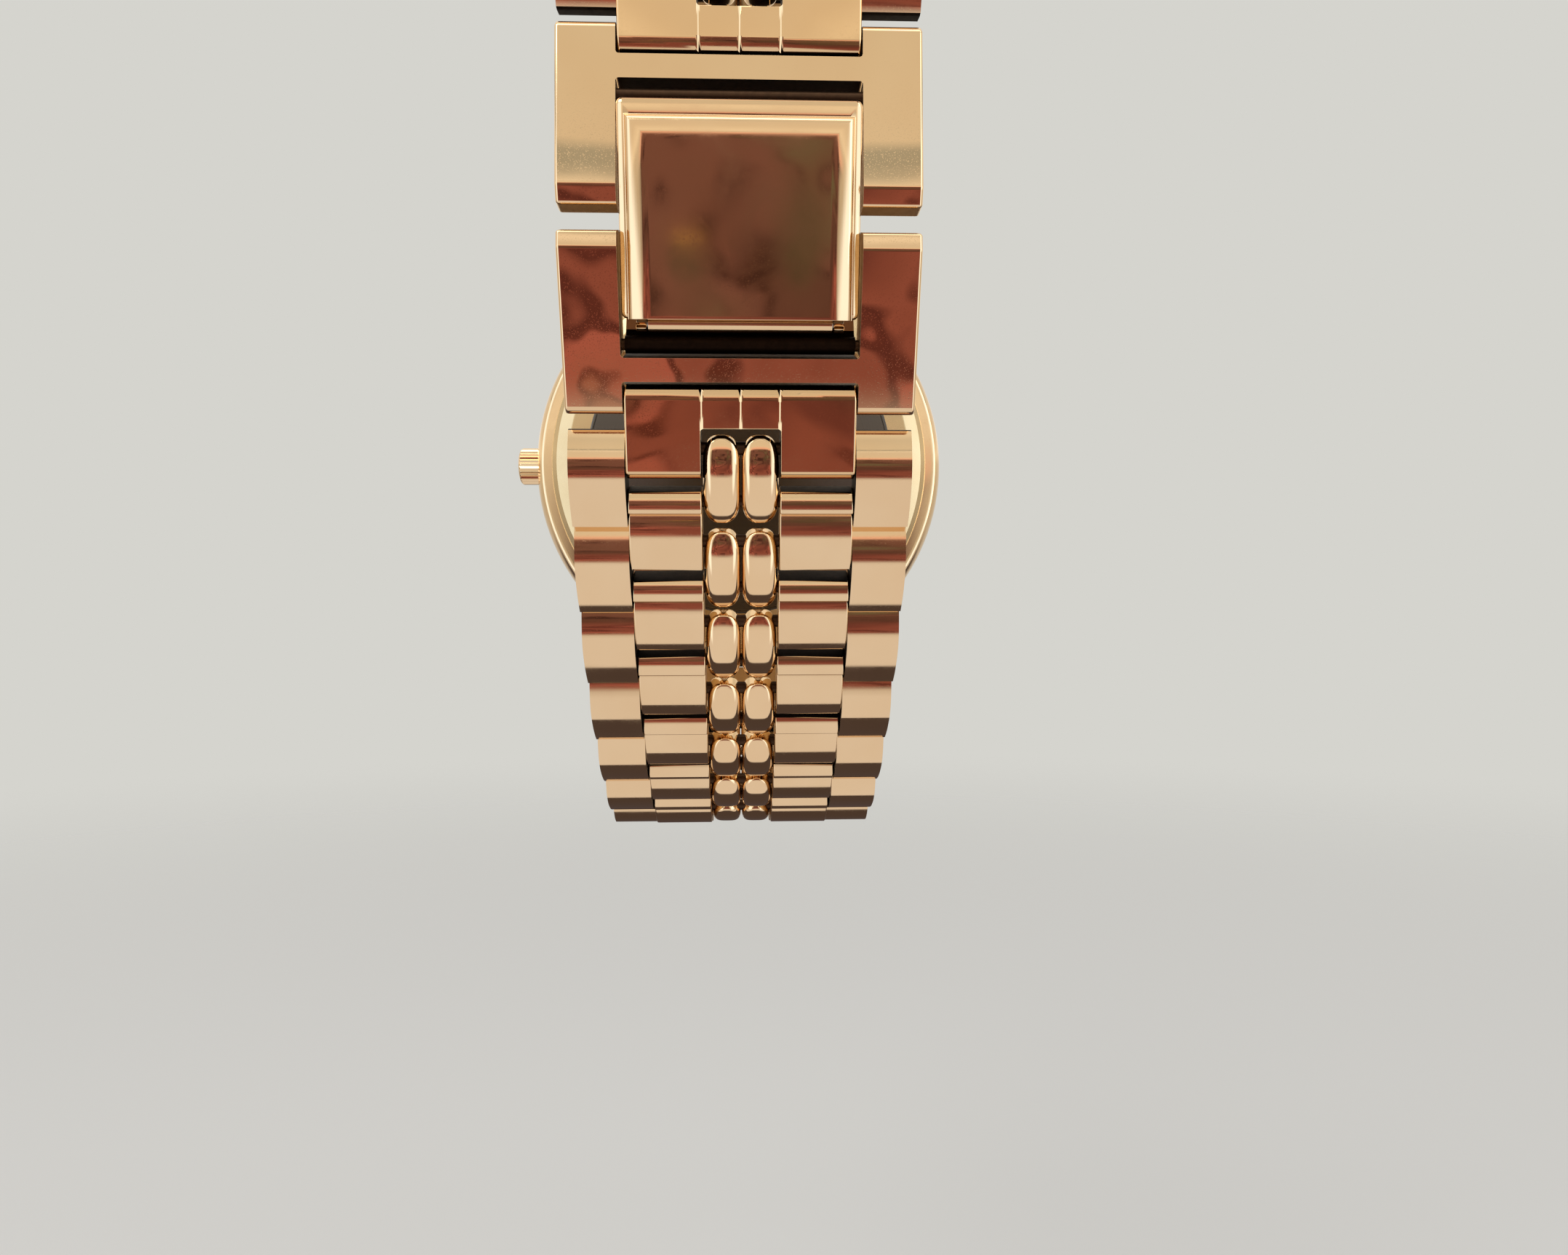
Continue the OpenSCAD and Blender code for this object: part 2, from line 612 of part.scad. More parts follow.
module case_body() {
    color(polished_gold) in_head() difference() {
        union() {
            rotate_extrude($fn = 128) polygon(concat(
                [[bore_r, -case_down], [case_r - 0.9, -case_down]],
                bow(case_r - 0.9, 0, 0.9, case_down, -80, 60, 10),
                [[case_r - 0.7, case_up], [bore_r, case_up]]));
            rotate_extrude($fn = 128) polygon([[ledge_r, dial_top + 0.02], [bore_r + 0.2, dial_top + 0.02],
                [bore_r + 0.2, case_up], [ledge_r, case_up]]);
            for (a = [0, 180]) rotate([0, 0, a]) both_sides() lug();
        }
        disc(bore_r, -case_down - 1, dial_top + 0.02);
        disc(ledge_r, -case_down, case_up + 1);
        for (y = [-1, 1]) translate([0, y * (case_r + bar_reach), -lug_set])
            rotate([0, 90, 0]) cylinder(r = spring_bar_r + 0.01, h = 2 * lug_in + 1.8, center = true);
        ring(bore_r + 1.1, bore_r + 0.5, -case_down - 1, -case_down + gasket_groove);
        at_three(-case_r - 2) cylinder(r = tube_r + 0.01, h = 6);
        at_three(-case_r - 2) cylinder(r = crown_d / 2 + 0.15, h = 2 + crown_sink + 0.02);
    }
}

// One lug: a horn beside the end piece, bored for the spring bar
module lug() {
    tip = case_r + 2;
    slab(lug_in, lug_in + lug_w) polygon([
        [case_r * 0.72, case_up - 0.3], [case_r + 0.4, case_up - 0.7], [tip, 0.1], [tip + 0.15, -0.9],
        [tip - 0.3, -case_down + 0.2], [case_r * 0.8, -case_down + 0.1], [case_r * 0.72, -case_down + 0.4]]);
}

module bezel() {
    inner = ledge_r + 1;
    color(polished_gold) in_head() rotate_extrude($fn = 128) polygon(concat(
        [[inner, case_up], [case_r - 0.75, case_up], [case_r - 0.75, case_up + 0.3]],
        bow(inner + 0.35, case_up + 0.3, case_r - 0.75 - inner - 0.35, bezel_h - 0.3, 0, 90, 8),
        [[inner, case_up + bezel_h]]));
}

crystal_r = ledge_r + 0.72;

module crystal() {
    top = case_up + 0.05 + crystal_t;
    color([0.85, 0.92, 0.95, 0.4]) in_head() rotate_extrude($fn = 128) polygon([
        [0, case_up + 0.05], [crystal_r, case_up + 0.05], [crystal_r, top - 0.2],
        [crystal_r - 0.25, top], [0, top]]);
}

module crystal_gasket() {
    color([0.9, 0.9, 0.88]) in_head() ring(ledge_r + 0.99, crystal_r + 0.01, case_up, case_up + bezel_h - 0.3);
}

module dial() {
    color([0.93, 0.91, 0.86]) in_head() difference() {
        disc(dial_r, dial_back, dial_top);
        disc(1, dial_back - 1, dial_top + 1);
    }
}

module hour_markers() {
    marker_h = 0.25;
    mid = dial_open_r - 0.9 - marker_len / 2;
    color(polished_gold) in_head() for (h = [0:11]) rotate([0, 0, 30 * h])
        translate([0, -mid, dial_top]) marker(h % 3 == 0 ? 0.9 : 0.5, marker_h);
}

// One applied baton with a faceted top
module marker(w, h) {
    translate([0, marker_len / 2, 0]) rotate([90, 0, 0]) linear_extrude(marker_len)
        polygon([[-w / 2, 0], [w / 2, 0], [w / 2, h * 0.4], [w * 0.2, h], [-w * 0.2, h], [-w / 2, h * 0.4]]);
}

module dial_ring() {
    color([0.9, 0.88, 0.82]) in_head() rotate_extrude($fn = 128) polygon([
        [ledge_r - 0.05, dial_top], [dial_open_r, dial_top], [dial_open_r + 0.5, case_up],
        [ledge_r - 0.05, case_up]]);
}

module movement_holder() {
    color([0.92, 0.92, 0.9]) in_head() difference() {
        ring(bore_r - 0.05, movement_r + 0.05, train_floor, dial_back - 0.02);
        at_three(-bore_r - 1) cylinder(r = stem_r + 0.4, h = 4);
    }
}

cannon_r = 0.6;
arbor_r = 0.3;
hour_pipe_r = 0.9;
wheel_well_r = 3.4;
train_gap = 0.15;

module main_plate() {
    color(brass) in_head() difference() {
        disc(movement_r, plate_back, plate_top);
        disc(wheel_well_r, 0.1, plate_top + 1);
        disc(cannon_r + pipe_play, plate_back - 1, plate_top);
        at_three(-movement_r - 1) cylinder(r = stem_r + 0.08, h = stem_reach + 1.2);
        translate([rotor_x, rotor_y, plate_back - 1]) cylinder(r = 0.2, h = 1.5);
    }
}

stem_reach = movement_r * 0.42;
rotor_x = movement_r * 0.39;
rotor_y = movement_r * 0.271;
wheel_t = 0.2;
minute_wheel_z = plate_back - train_gap - wheel_t;
seconds_wheel_z = minute_wheel_z - train_gap - wheel_t;
bridge_top = seconds_wheel_z - train_gap;

module train_bridge() {
    bridge_r = 4.6;
    post_r = 0.6;
    color(brass) in_head() difference() {
        union() {
            disc(bridge_r, train_floor, bridge_top);
            for (a = [60, 180, 300]) rotate([0, 0, a])
                translate([bridge_r - post_r - 0.1, 0, train_floor]) cylinder(r = post_r, h = plate_back - train_floor);
        }
        disc(0.18, train_floor - 1, bridge_top + 1);
        translate([battery_x, battery_y, train_floor - 1]) cylinder(r = battery_r + 0.15, h = plate_t * 2);
    }
}

module in_coil(h, r) {
    translate([movement_r * 0.593, -movement_r * 0.1, plate_back - coil_r - 0.05])
        rotate([90, 0, 30]) cylinder(r = r, h = h, center = true);
}

module step_motor() {
    stator_r = rotor_r + 1.1;
    color([0.72, 0.42, 0.22]) in_head() in_coil(movement_r * 0.51, coil_r);
    color(steel) in_head() difference() {
        translate([rotor_x, rotor_y, plate_back - 0.2 - stator_t]) cylinder(r = stator_r, h = stator_t);
        translate([rotor_x, rotor_y, plate_back - 2]) cylinder(r = rotor_r + 0.15, h = 3);
        disc(seconds_wheel_r + 0.5, -4, 0);
    }
}

module rotor() {
    color([0.3, 0.3, 0.32]) in_head() translate([rotor_x, rotor_y, 0]) {
        translate([0, 0, plate_back - 0.95]) cylinder(r = rotor_r, h = 0.8);
        translate([0, 0, plate_back - 1.15]) cylinder(r = 0.15, h = 1.4);
    }
}

seconds_wheel_r = 3.1;
battery_r = (movement_r - battery_rim - seconds_wheel_r - 0.15) / 2;
battery_x = -0.6;
battery_y = movement_r - battery_rim - battery_r;
battery_seat = plate_back - 0.06;

module battery() {
    color(steel) in_head() translate([battery_x, battery_y, battery_seat - battery_t])
        cylinder(r = battery_r, h = battery_t);
}

module battery_clamp() {
    clamp_w = battery_r * 0.36;
    z = battery_seat - battery_t - clamp_t;
    color(brass) in_head() {
        translate([battery_x - battery_r - 1.1, battery_y - clamp_w / 2, z])
            cube([2 * battery_r + 2.2, clamp_w, clamp_t]);
        translate([battery_x - battery_r - 1.1, battery_y - clamp_w / 2, z]) cube([0.5, clamp_w, plate_back - z]);
    }
}

module circuit_board() {
    board_edge = movement_r * 0.44;
    chip_w = movement_r * 0.22;
    color([0.15, 0.4, 0.25]) in_head() difference() {
        translate([0, 0, plate_back - board_t]) intersection() {
            cylinder(r = movement_r - 0.4, h = board_t);
            translate([-movement_r, -movement_r, 0]) cube([2 * movement_r, movement_r - board_edge, board_t]);
        }
        in_coil(movement_r * 0.56, coil_r + 0.3);
    }
    color([0.12, 0.12, 0.13]) in_head() translate([-chip_w * 1.15, -movement_r * 0.71, plate_back - board_t - 0.5])
        cube([chip_w, chip_w * 0.77, 0.5]);
}

module case_back() {
    color(polished_gold) in_head() rotate_extrude($fn = 128) polygon([
        [0, -case_down - back_t], [back_r - 1.6, -case_down - back_t],
        [back_r - 0.5, -case_down - back_t * 0.75], [back_r, -case_down - 0.35], [back_r, -case_down],
        [bore_r - 0.1, -case_down], [bore_r - 0.1, train_floor - 0.05], [bore_r - 0.9, train_floor - 0.05],
        [bore_r - 0.9, -case_down - 0.3], [0, -case_down - 0.3]]);
}

module case_back_gasket() {
    color([0.1, 0.1, 0.1]) in_head() ring(bore_r + 1.05, bore_r + 0.55, -case_down + 0.01, -case_down + gasket_groove - 0.02);
}

// The end piece between two lugs carries the limb's last hinge
module end_piece(sign) {
    r = link_top - 0.3;
    half = band_w / 2;
    color(polished_gold) in_head() mirror([0, sign == UP ? 0 : 1, 0]) difference() {
        union() {
            slab(-half, half) translate([-case_r - lug_reach, -lug_set]) circle(r = r);
            slab(-half, half) polygon([
                [-case_r - lug_reach, -lug_set - r], [-case_r - lug_reach, -lug_set + r],
                [-case_r - 1.4, case_up - 1.35], [-case_r * 0.84, case_up - 0.8],
                [-case_r * 0.84, -case_down + 0.5], [-case_r - 1, -lug_set - r - 0.1]]);
        }
        disc(case_r + 0.03, -4, 4);
        both_sides() cross_rod(inner_end + 0.35, inner_x - column_gap, inner_x + inner_w + column_gap,
            -case_r - lug_reach, -lug_set);
        cross_rod(link_pin_r + 0.01, -half - 1, half + 1, -case_r - lug_reach, -lug_set);
        cross_rod(spring_bar_r + 0.01, -half - 1, half + 1, -case_r - bar_reach, -lug_set);
    }
    color(steel) in_head() mirror([0, sign == UP ? 0 : 1, 0])
        full_rod(link_pin_r, band_w - 0.2, -case_r - lug_reach, -lug_set);
}

module spring_bars() {
    color(steel) in_head() for (y = [-1, 1]) translate([0, y * (case_r + bar_reach), -lug_set])
        rotate([0, 90, 0]) cylinder(r = spring_bar_r, h = 2 * lug_in + 1.6, center = true);
}

// Crown and stem

module crown_tube() {
    color(steel) in_head() difference() {
        at_three(-case_r + crown_sink - 0.4) cylinder(r = tube_r, h = case_r - crown_sink + 0.4 - bore_r - 0.3);
        at_three(-case_r - 2) cylinder(r = stem_r + 0.15, h = 8);
    }
}

module crown() {
    tooth = 0.1;
    outer = crown_d / 2;
    color(polished_gold) in_head() difference() {
        intersection() {
            at_three(crown_base - crown_len) linear_extrude(crown_len) polygon([
                for (i = [0:2 * crown_teeth - 1]) let (a = 180 * i / crown_teeth,
                    q = outer - (i % 2 == 0 ? 0 : tooth)) q * arm(a)]);
            at_three(crown_base - crown_len) rotate_extrude() polygon(concat(
                [[0, -0.01], [outer * 0.6, 0.02]],
                bow(outer - 0.35, 0.4, 0.36, 0.36, -80, 0, 5),
                [[outer + 0.01, crown_len - 0.15], [outer - 0.2, crown_len], [0, crown_len]]));
        }
        at_three(crown_base - 1.1) cylinder(r = tube_r + 0.12, h = 2);
        at_three(crown_base - 1.5) cylinder(r = stem_r, h = 2);
    }
}

module stem() {
    color(steel) in_head() at_three(crown_base - 1.5)
        cylinder(r = stem_r, h = case_r - crown_sink + 1.5 - (movement_r - stem_reach));
}

module crown_gasket() {
    color([0.1, 0.1, 0.1]) in_head() at_three(crown_base - 0.95) difference() {
        cylinder(r = tube_r + 0.06, h = 0.35);
        translate([0, 0, -1]) cylinder(r = stem_r + 0.1, h = 3);
    }
}

// Hands, each with its wheel and pipe. They show nine minutes past ten.

hand_t = 0.15;
hour_hand_z = dial_top + 0.3;
minute_hand_z = hour_hand_z + hand_t + 0.15;
seconds_hand_z = minute_hand_z + hand_t + 0.15;
hour_turn = 304.5;
minute_turn = 54;
seconds_turn = 216;

// A flat tapering hand that points to 12 o'clock, with a round boss
module hand_blade(z, len, w, tail, boss) {
    translate([0, 0, z]) linear_extrude(hand_t) {
        polygon([[-w / 2, tail], [w / 2, tail], [w * 0.65, -len * 0.25], [w * 0.12, -len],
                 [-w * 0.12, -len], [-w * 0.65, -len * 0.25]]);
        circle(r = boss);
    }
}

module hour_hand() {
    color(gold) in_head() difference() {
        union() {
            rotate([0, 0, -hour_turn]) hand_blade(hour_hand_z, hour_len, 0.9, 0.5, 1.2);
            disc(hour_pipe_r, 0.35, hour_hand_z + 0.05);
            disc(3, 0.35, 0.6);
        }
        disc(cannon_r + pipe_play, -1, hour_hand_z + 1);
    }
}

module minute_hand() {
    color(gold) in_head() difference() {
        union() {
            rotate([0, 0, -minute_turn]) hand_blade(minute_hand_z, minute_len, 0.8, 1.2, 1);
            disc(cannon_r, minute_wheel_z, minute_hand_z + 0.05);
            disc(2.6, minute_wheel_z, minute_wheel_z + wheel_t);
        }
        disc(arbor_r + pipe_play, -4, minute_hand_z + 1);
    }
}

module seconds_hand() {
    color(gold) in_head() {
        rotate([0, 0, -seconds_turn]) hand_blade(seconds_hand_z, seconds_len, 0.28, 2.6, 0.6);
        disc(arbor_r, seconds_wheel_z, seconds_hand_z + 0.05);
        disc(seconds_wheel_r, seconds_wheel_z, seconds_wheel_z + wheel_t);
        disc(0.14, train_floor + 0.05, seconds_wheel_z + 0.05);
    }
}

case_body();
bezel();
crystal();
crystal_gasket();
dial();
hour_markers();
dial_ring();
movement_holder();
main_plate();
train_bridge();
step_motor();
rotor();
battery();
battery_clamp();
circuit_board();
case_back();
case_back_gasket();
end_piece(UP);  // end_piece_12
end_piece(DOWN);  // end_piece_6
spring_bars();
crown_tube();
crown();
stem();
crown_gasket();
hour_hand();
minute_hand();
seconds_hand();
clasp_frame_12();
clasp_frame_6();
clasp_cover();
clasp_link_blade();
clasp_base_blade();
frame_pins(UP, upper_root, upper_angle, upper_frame_pins);  // frame_pins_12
frame_pins(DOWN, lower_root, lower_angle, lower_frame_pins);  // frame_pins_6
cover_pin();
blade_pin();
end_link(UP);  // end_link_12
end_link(DOWN);  // end_link_6
for (i = [1:links_12]) link_unit(UP, i);
for (i = [1:links_6]) link_unit(DOWN, i);
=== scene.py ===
import json
import math

import bpy
from mathutils import Matrix, Vector


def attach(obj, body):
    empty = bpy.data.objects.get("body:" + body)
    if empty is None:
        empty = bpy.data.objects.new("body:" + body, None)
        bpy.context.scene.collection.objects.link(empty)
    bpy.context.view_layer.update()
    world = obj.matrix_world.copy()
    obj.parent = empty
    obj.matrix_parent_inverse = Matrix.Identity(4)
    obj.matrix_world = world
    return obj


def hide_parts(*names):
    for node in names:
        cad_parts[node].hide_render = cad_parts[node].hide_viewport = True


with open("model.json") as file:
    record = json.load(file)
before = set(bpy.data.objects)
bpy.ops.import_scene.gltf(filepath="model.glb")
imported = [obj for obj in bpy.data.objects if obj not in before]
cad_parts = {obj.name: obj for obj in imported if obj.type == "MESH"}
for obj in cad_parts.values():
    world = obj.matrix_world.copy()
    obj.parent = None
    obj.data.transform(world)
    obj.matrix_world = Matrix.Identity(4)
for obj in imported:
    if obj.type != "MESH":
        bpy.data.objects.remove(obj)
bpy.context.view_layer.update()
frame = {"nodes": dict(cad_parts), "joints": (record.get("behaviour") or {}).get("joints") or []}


# Camera
# A short lens held level, about 5 cm in front of the clasp and 2 cm below its middle.
# Its place and lens come from one fit to the clasp, the links and the case flank.
camera_place = (-0.00015, -0.07714, -0.01628)
camera_yaw = -0.0403
camera_pitch = -0.0128
camera_roll = -0.0030
camera_lens = 25.87

bpy.ops.object.select_all(action="DESELECT")
bpy.ops.object.camera_add()
camera = bpy.context.object
camera.name = "camera"
camera.data.lens = camera_lens
camera.data.sensor_width = 36
camera.data.clip_start = 0.005
camera.matrix_world = (
    Matrix.Translation(camera_place)
    @ Matrix.Rotation(camera_yaw, 4, "Z")
    @ Matrix.Rotation(math.pi / 2 + camera_pitch, 4, "X")
    @ Matrix.Rotation(camera_roll, 4, "Z")
)
bpy.context.scene.camera = camera


# Outer links
# The two side columns: solid brass blocks with a strongly rounded back, bored for two pins.
# They are machined, their edges are broken, and they are polished and plated with gold.
mm = 0.001
link_pitch = 5.2
outer_w = 2.95
inner_w = 3.9
bead_w = 1.98
column_gap = 0.07
link_top = 1.15
link_base = 1.05
outer_mid = link_pitch * 0.31
outer_len = link_pitch - 0.1
nose_peak, nose_top, nose_r = 3.226, 1.604, 6
shoulder_r = 2.9
flat_r = 7
flank_edge = 0.15
fine_edge = 0.05
link_pin_r = 0.35
second_pin = link_pitch * 0.56
relief = 0.27
bead_x = column_gap / 2
inner_x = bead_x + bead_w + column_gap
outer_x = inner_x + inner_w + column_gap
band_w = 2 * (outer_x + outer_w)


def hex_colour(code):
    """An sRGB hex colour as the linear colour that a shader takes."""
    parts = [int(code[i : i + 2], 16) / 255 for i in (1, 3, 5)]
    return [p / 12.92 if p <= 0.04045 else ((p + 0.055) / 1.055) ** 2.4 for p in parts] + [1]


def add_node(material, kind, settings=None, links=None):
    """Adds a shader node, sets its properties and sockets, and links (node, output) pairs to it."""
    node = material.node_tree.nodes.new("ShaderNode" + kind)
    for name, value in (settings or {}).items():
        if isinstance(name, int) or name in node.inputs:
            node.inputs[name].default_value = value
        else:
            setattr(node, name, value)
    for name, (source, output) in (links or {}).items():
        material.node_tree.links.new(source.outputs[output], node.inputs[name])
    return node


def new_finish(name, **sockets):
    """A material with its shader's constant sockets set."""
    material = bpy.data.materials.new(name)
    material.use_nodes = True
    shader = material.node_tree.nodes["Principled BSDF"]
    for socket, value in sockets.items():
        shader.inputs[socket.replace("_", " ")].default_value = value
    return material


def feed_shader(material, tone=None, roughness=None, surface=None):
    """Links a mixed colour, a roughness and a bumped surface to the material's shader."""
    shader = material.node_tree.nodes["Principled BSDF"]
    fed = ((tone, 2, "Base Color"), (roughness, 0, "Roughness"), (surface, 0, "Normal"))
    for node, output, socket in fed:
        if node:
            material.node_tree.links.new(node.outputs[output], shader.inputs[socket])
    return material


def plated_gold(name, dark, light, clean, smeared, hairlines=0.5, ripple=5e-6):
    """Gold electroplated on polished brass: a warm mirror, softened by handling."""
    material = new_finish(name, Metallic=1)
    place = add_node(material, "TexCoord")
    # The plate's tone drifts by a shade over some 4 mm
    drift = add_node(material, "TexNoise", {"Scale": 260, "Detail": 2}, {"Vector": (place, "Object")})
    tone = add_node(
        material, "Mix", {"data_type": "RGBA", 6: hex_colour(dark), 7: hex_colour(light)},
        {"Factor": (drift, 0)},
    )
    # Finger smears, 2 to 5 mm across, dull the mirror
    smear = add_node(
        material, "TexNoise", {"Scale": 300, "Detail": 4, "Roughness": 0.62, "Distortion": 0.6},
        {"Vector": (place, "Object")},
    )
    smear_level = add_node(
        material, "MapRange",
        {"From Min": 0.42, "From Max": 0.68, "To Min": clean, "To Max": smeared},
        {"Value": (smear, 0)},
    )
    # Polishing hairlines, 0.05 mm wide and 2 mm long, in two directions
    lines = []
    for turn, steep in ((0.5, 0.2), (-0.9, 1.1)):
        along = add_node(
            material, "Mapping", {"Rotation": (0.3, turn, steep), "Scale": (14000, 500, 14000)},
            {"Vector": (place, "Object")},
        )
        grain = add_node(material, "TexNoise", {"Scale": 1, "Detail": 1}, {"Vector": (along, "Vector")})
        line = add_node(
            material, "MapRange", {"From Min": 0.66, "From Max": 0.74, "To Max": hairlines},
            {"Value": (grain, 0)},
        )
        lines.append(line)
    scratched = add_node(
        material, "Math", {"operation": "MAXIMUM"}, {0: (lines[0], 0), 1: (lines[1], 0)}
    )
    dulled = add_node(material, "Math", {"operation": "MULTIPLY", 1: 0.16}, {0: (scratched, 0)})
    roughness = add_node(material, "Math", {"operation": "ADD"}, {0: (smear_level, 0), 1: (dulled, 0)})
    # Hand polishing leaves the flats a few microns uneven over 3 mm
    swell = add_node(material, "TexNoise", {"Scale": 330, "Detail": 0}, {"Vector": (place, "Object")})
    waves = add_node(material, "Bump", {"Distance": ripple}, {"Height": (swell, 0)})
    cuts = add_node(
        material, "Bump", {"Distance": 6e-7, "invert": True},
        {"Height": (scratched, 0), "Normal": (waves, 0)},
    )
    return feed_shader(material, tone, roughness, cuts)


link_gold = plated_gold("gold_plated_brass_links", "#ECC799", "#F3D3A8", 0.06, 0.12)


def feed_texture(material, texture, gloss, depth, tones=None):
    """Lets one texture drive the material's roughness and relief, and its tone between two."""
    tone = None
    if tones:
        dark, light = [hex_colour(code) for code in tones]
        tone = add_node(
            material, "Mix", {"data_type": "RGBA", 6: dark, 7: light}, {"Factor": (texture, 0)}
        )
    level = add_node(
        material, "MapRange", {"To Min": gloss[0], "To Max": gloss[1]}, {"Value": (texture, 0)}
    )
    relief = add_node(material, "Bump", {"Distance": depth}, {"Height": (texture, 0)})
    return feed_shader(material, tone, level, relief)


def grained_finish(
    name, dark, light, gloss, grain, depth, stretch=(1, 1, 1), octaves=3, breakup=0.6, **sockets
):
    """A worked, moulded or soiled surface: tone and roughness vary with a grain of so many mm.

    A stretch below 1 draws the grain out along that axis, as rolling and winding do.
    """
    material = new_finish(name, **sockets)
    place = add_node(material, "TexCoord")
    laid = add_node(material, "Mapping", {"Scale": stretch}, {"Vector": (place, "Object")})
    texture = add_node(
        material, "TexNoise",
        {"Scale": 1 / (grain * mm), "Detail": octaves, "Roughness": breakup},
        {"Vector": (laid, "Vector")},
    )
    return feed_texture(material, texture, gloss, depth, (dark, light))


# In the gaps the gold is painted nearly black, a painted shade; on the wrist side the plate is worn thin
# and dulled by grime. Both vary in patches of 0.4 mm
grime_and_shade_grain = {"grain": 0.4, "depth": 4e-6, "octaves": 5, "breakup": 0.7, "Metallic": 1}
# Painted shade: nearly black gold for faces deep in the gaps between parts
gap_painted_shade = grained_finish("gold_painted_shade_in_gaps", "#0F0A07", "#2B1C12", (0.65, 0.45), **grime_and_shade_grain)
wrist_gold = grained_finish("satin_gold_wrist_side", "#B38D5C", "#D0AC7A", (0.46, 0.26), **grime_and_shade_grain)


def finish_faces(piece, materials, *tests):
    """Gives the piece its materials: the first all over, each next one where its test picks."""
    for material in materials:
        piece.data.materials.append(material)
    for face in piece.data.polygons:
        for number, test in enumerate(tests, 1):
            if test(face.center, face.normal):
                face.material_index = number
                break


def draw_outline(name, points):
    """Draws a line of points in the YZ plane, corner by corner, and leaves it in edit mode."""
    bpy.ops.object.select_all(action="DESELECT")
    bpy.ops.mesh.primitive_plane_add(size=1)
    piece = bpy.context.object
    piece.name = name
    bpy.ops.object.mode_set(mode="EDIT")
    bpy.ops.mesh.select_mode(type="VERT")
    bpy.ops.mesh.select_all(action="SELECT")
    bpy.ops.mesh.merge(type="CENTER")
    bpy.ops.transform.translate(value=(0, *points[0]))
    for (y0, z0), (y1, z1) in zip(points, points[1:]):
        bpy.ops.mesh.extrude_region_move(TRANSFORM_OT_translate={"value": (0, y1 - y0, z1 - z0)})
    bpy.ops.mesh.select_all(action="SELECT")
    return piece


def close_mesh():
    """Merges what meets, turns the faces outwards and leaves edit mode."""
    bpy.ops.mesh.select_all(action="SELECT")
    bpy.ops.mesh.remove_doubles(threshold=1e-4)
    bpy.ops.mesh.normals_make_consistent(inside=False)
    bpy.ops.object.mode_set(mode="OBJECT")


def extrude_outline(name, points, x0, x1):
    """A bar whose section is the outline, from x0 to x1."""
    piece = draw_outline(name, points)
    bpy.ops.mesh.edge_face_add()
    bpy.ops.transform.translate(value=(x0, 0, 0))
    bpy.ops.mesh.extrude_region_move(TRANSFORM_OT_translate={"value": (x1 - x0, 0, 0)})
    close_mesh()
    return piece


def set_primitive(name):
    """Names the primitive that was just added, and applies its size and place to its mesh."""
    piece = bpy.context.object
    piece.name = name
    bpy.ops.object.transform_apply()
    return piece


def add_rod(name, radius, x0, x1, y, z, sides=40):
    """A plain rod across the bracelet, used as a pin or as a drill."""
    bpy.ops.object.select_all(action="DESELECT")
    bpy.ops.mesh.primitive_cylinder_add(
        vertices=sides, radius=radius, depth=x1 - x0,
        location=((x0 + x1) / 2, y, z), rotation=(0, math.pi / 2, 0),
    )
    return set_primitive(name)


def pick(piece):
    """Makes the piece the active one, and the only one selected."""
    bpy.ops.object.select_all(action="DESELECT")
    bpy.context.view_layer.objects.active = piece
    piece.select_set(True)


def take_boolean(piece, tool, operation="DIFFERENCE"):
    """Cuts the tool out of the piece, or welds it on, and puts the tool away."""
    modifier = piece.modifiers.new("cut", "BOOLEAN")
    modifier.operation = operation
    modifier.solver = "EXACT"
    modifier.object = tool
    pick(piece)
    bpy.ops.object.modifier_apply(modifier=modifier.name)
    bpy.data.objects.remove(tool)


def bevel_sharp(piece, width, segments, where, sharpness=30):
    """Bevels the sharp edges whose middle passes the test; sharpness is in degrees."""
    pick(piece)
    bpy.ops.object.mode_set(mode="EDIT")
    bpy.ops.mesh.select_mode(type="EDGE")
    bpy.ops.mesh.select_all(action="DESELECT")
    bpy.ops.mesh.edges_select_sharp(sharpness=math.radians(sharpness))
    bpy.ops.object.mode_set(mode="OBJECT")
    corners = piece.data.vertices
    for edge in piece.data.edges:
        if edge.select:
            edge.select = bool(where((corners[edge.vertices[0]].co + corners[edge.vertices[1]].co) / 2))
    bpy.ops.object.mode_set(mode="EDIT")
    bpy.ops.mesh.bevel(offset=width, segments=segments, affect="EDGES", clamp_overlap=True)
    bpy.ops.mesh.select_all(action="SELECT")
    bpy.ops.mesh.normals_make_consistent(inside=False)
    bpy.ops.object.mode_set(mode="OBJECT")


def polish_faces(piece, angle=38):
    """Curves shade smoothly and flats stay flat, split at edges sharper than the angle."""
    pick(piece)
    bpy.ops.object.shade_smooth_by_angle(angle=math.radians(angle))
    even = piece.modifiers.new("even", "WEIGHTED_NORMAL")
    even.keep_sharp = True
    bpy.ops.object.modifier_apply(modifier=even.name)


def join_pieces(name, pieces):
    """Makes one object of several."""
    bpy.ops.object.select_all(action="DESELECT")
    for piece in pieces:
        piece.select_set(True)
    bpy.context.view_layer.objects.active = pieces[0]
    bpy.ops.object.join()
    joined = bpy.context.object
    joined.name = name
    return joined


def copy_of(piece, name, matrix=None):
    """A copy with its own mesh, moved by the matrix."""
    twin = piece.copy()
    twin.data = piece.data.copy()
    twin.name = name
    bpy.context.scene.collection.objects.link(twin)
    if matrix is not None:
        twin.data.transform(matrix)
    return twin


def round_back(peak, top, radius, u0, u1, steps):
    """Points on a link's convex back, from u0 to u1, highest at the peak."""
    return [
        (u, top - radius + math.sqrt(radius**2 - (u - peak) ** 2))
        for u in (u0 + (u1 - u0) * i / steps for i in range(steps + 1))
    ]


def in_bore(centre, normal, pin_places):
    """Whether a face lies in one of the pin holes, and so points at a pin."""
    return any(
        math.hypot(centre.y - place, centre.z) < link_pin_r + 0.05
        and normal.y * (centre.y - place) + normal.z * centre.z < 0
        for place in pin_places
    )


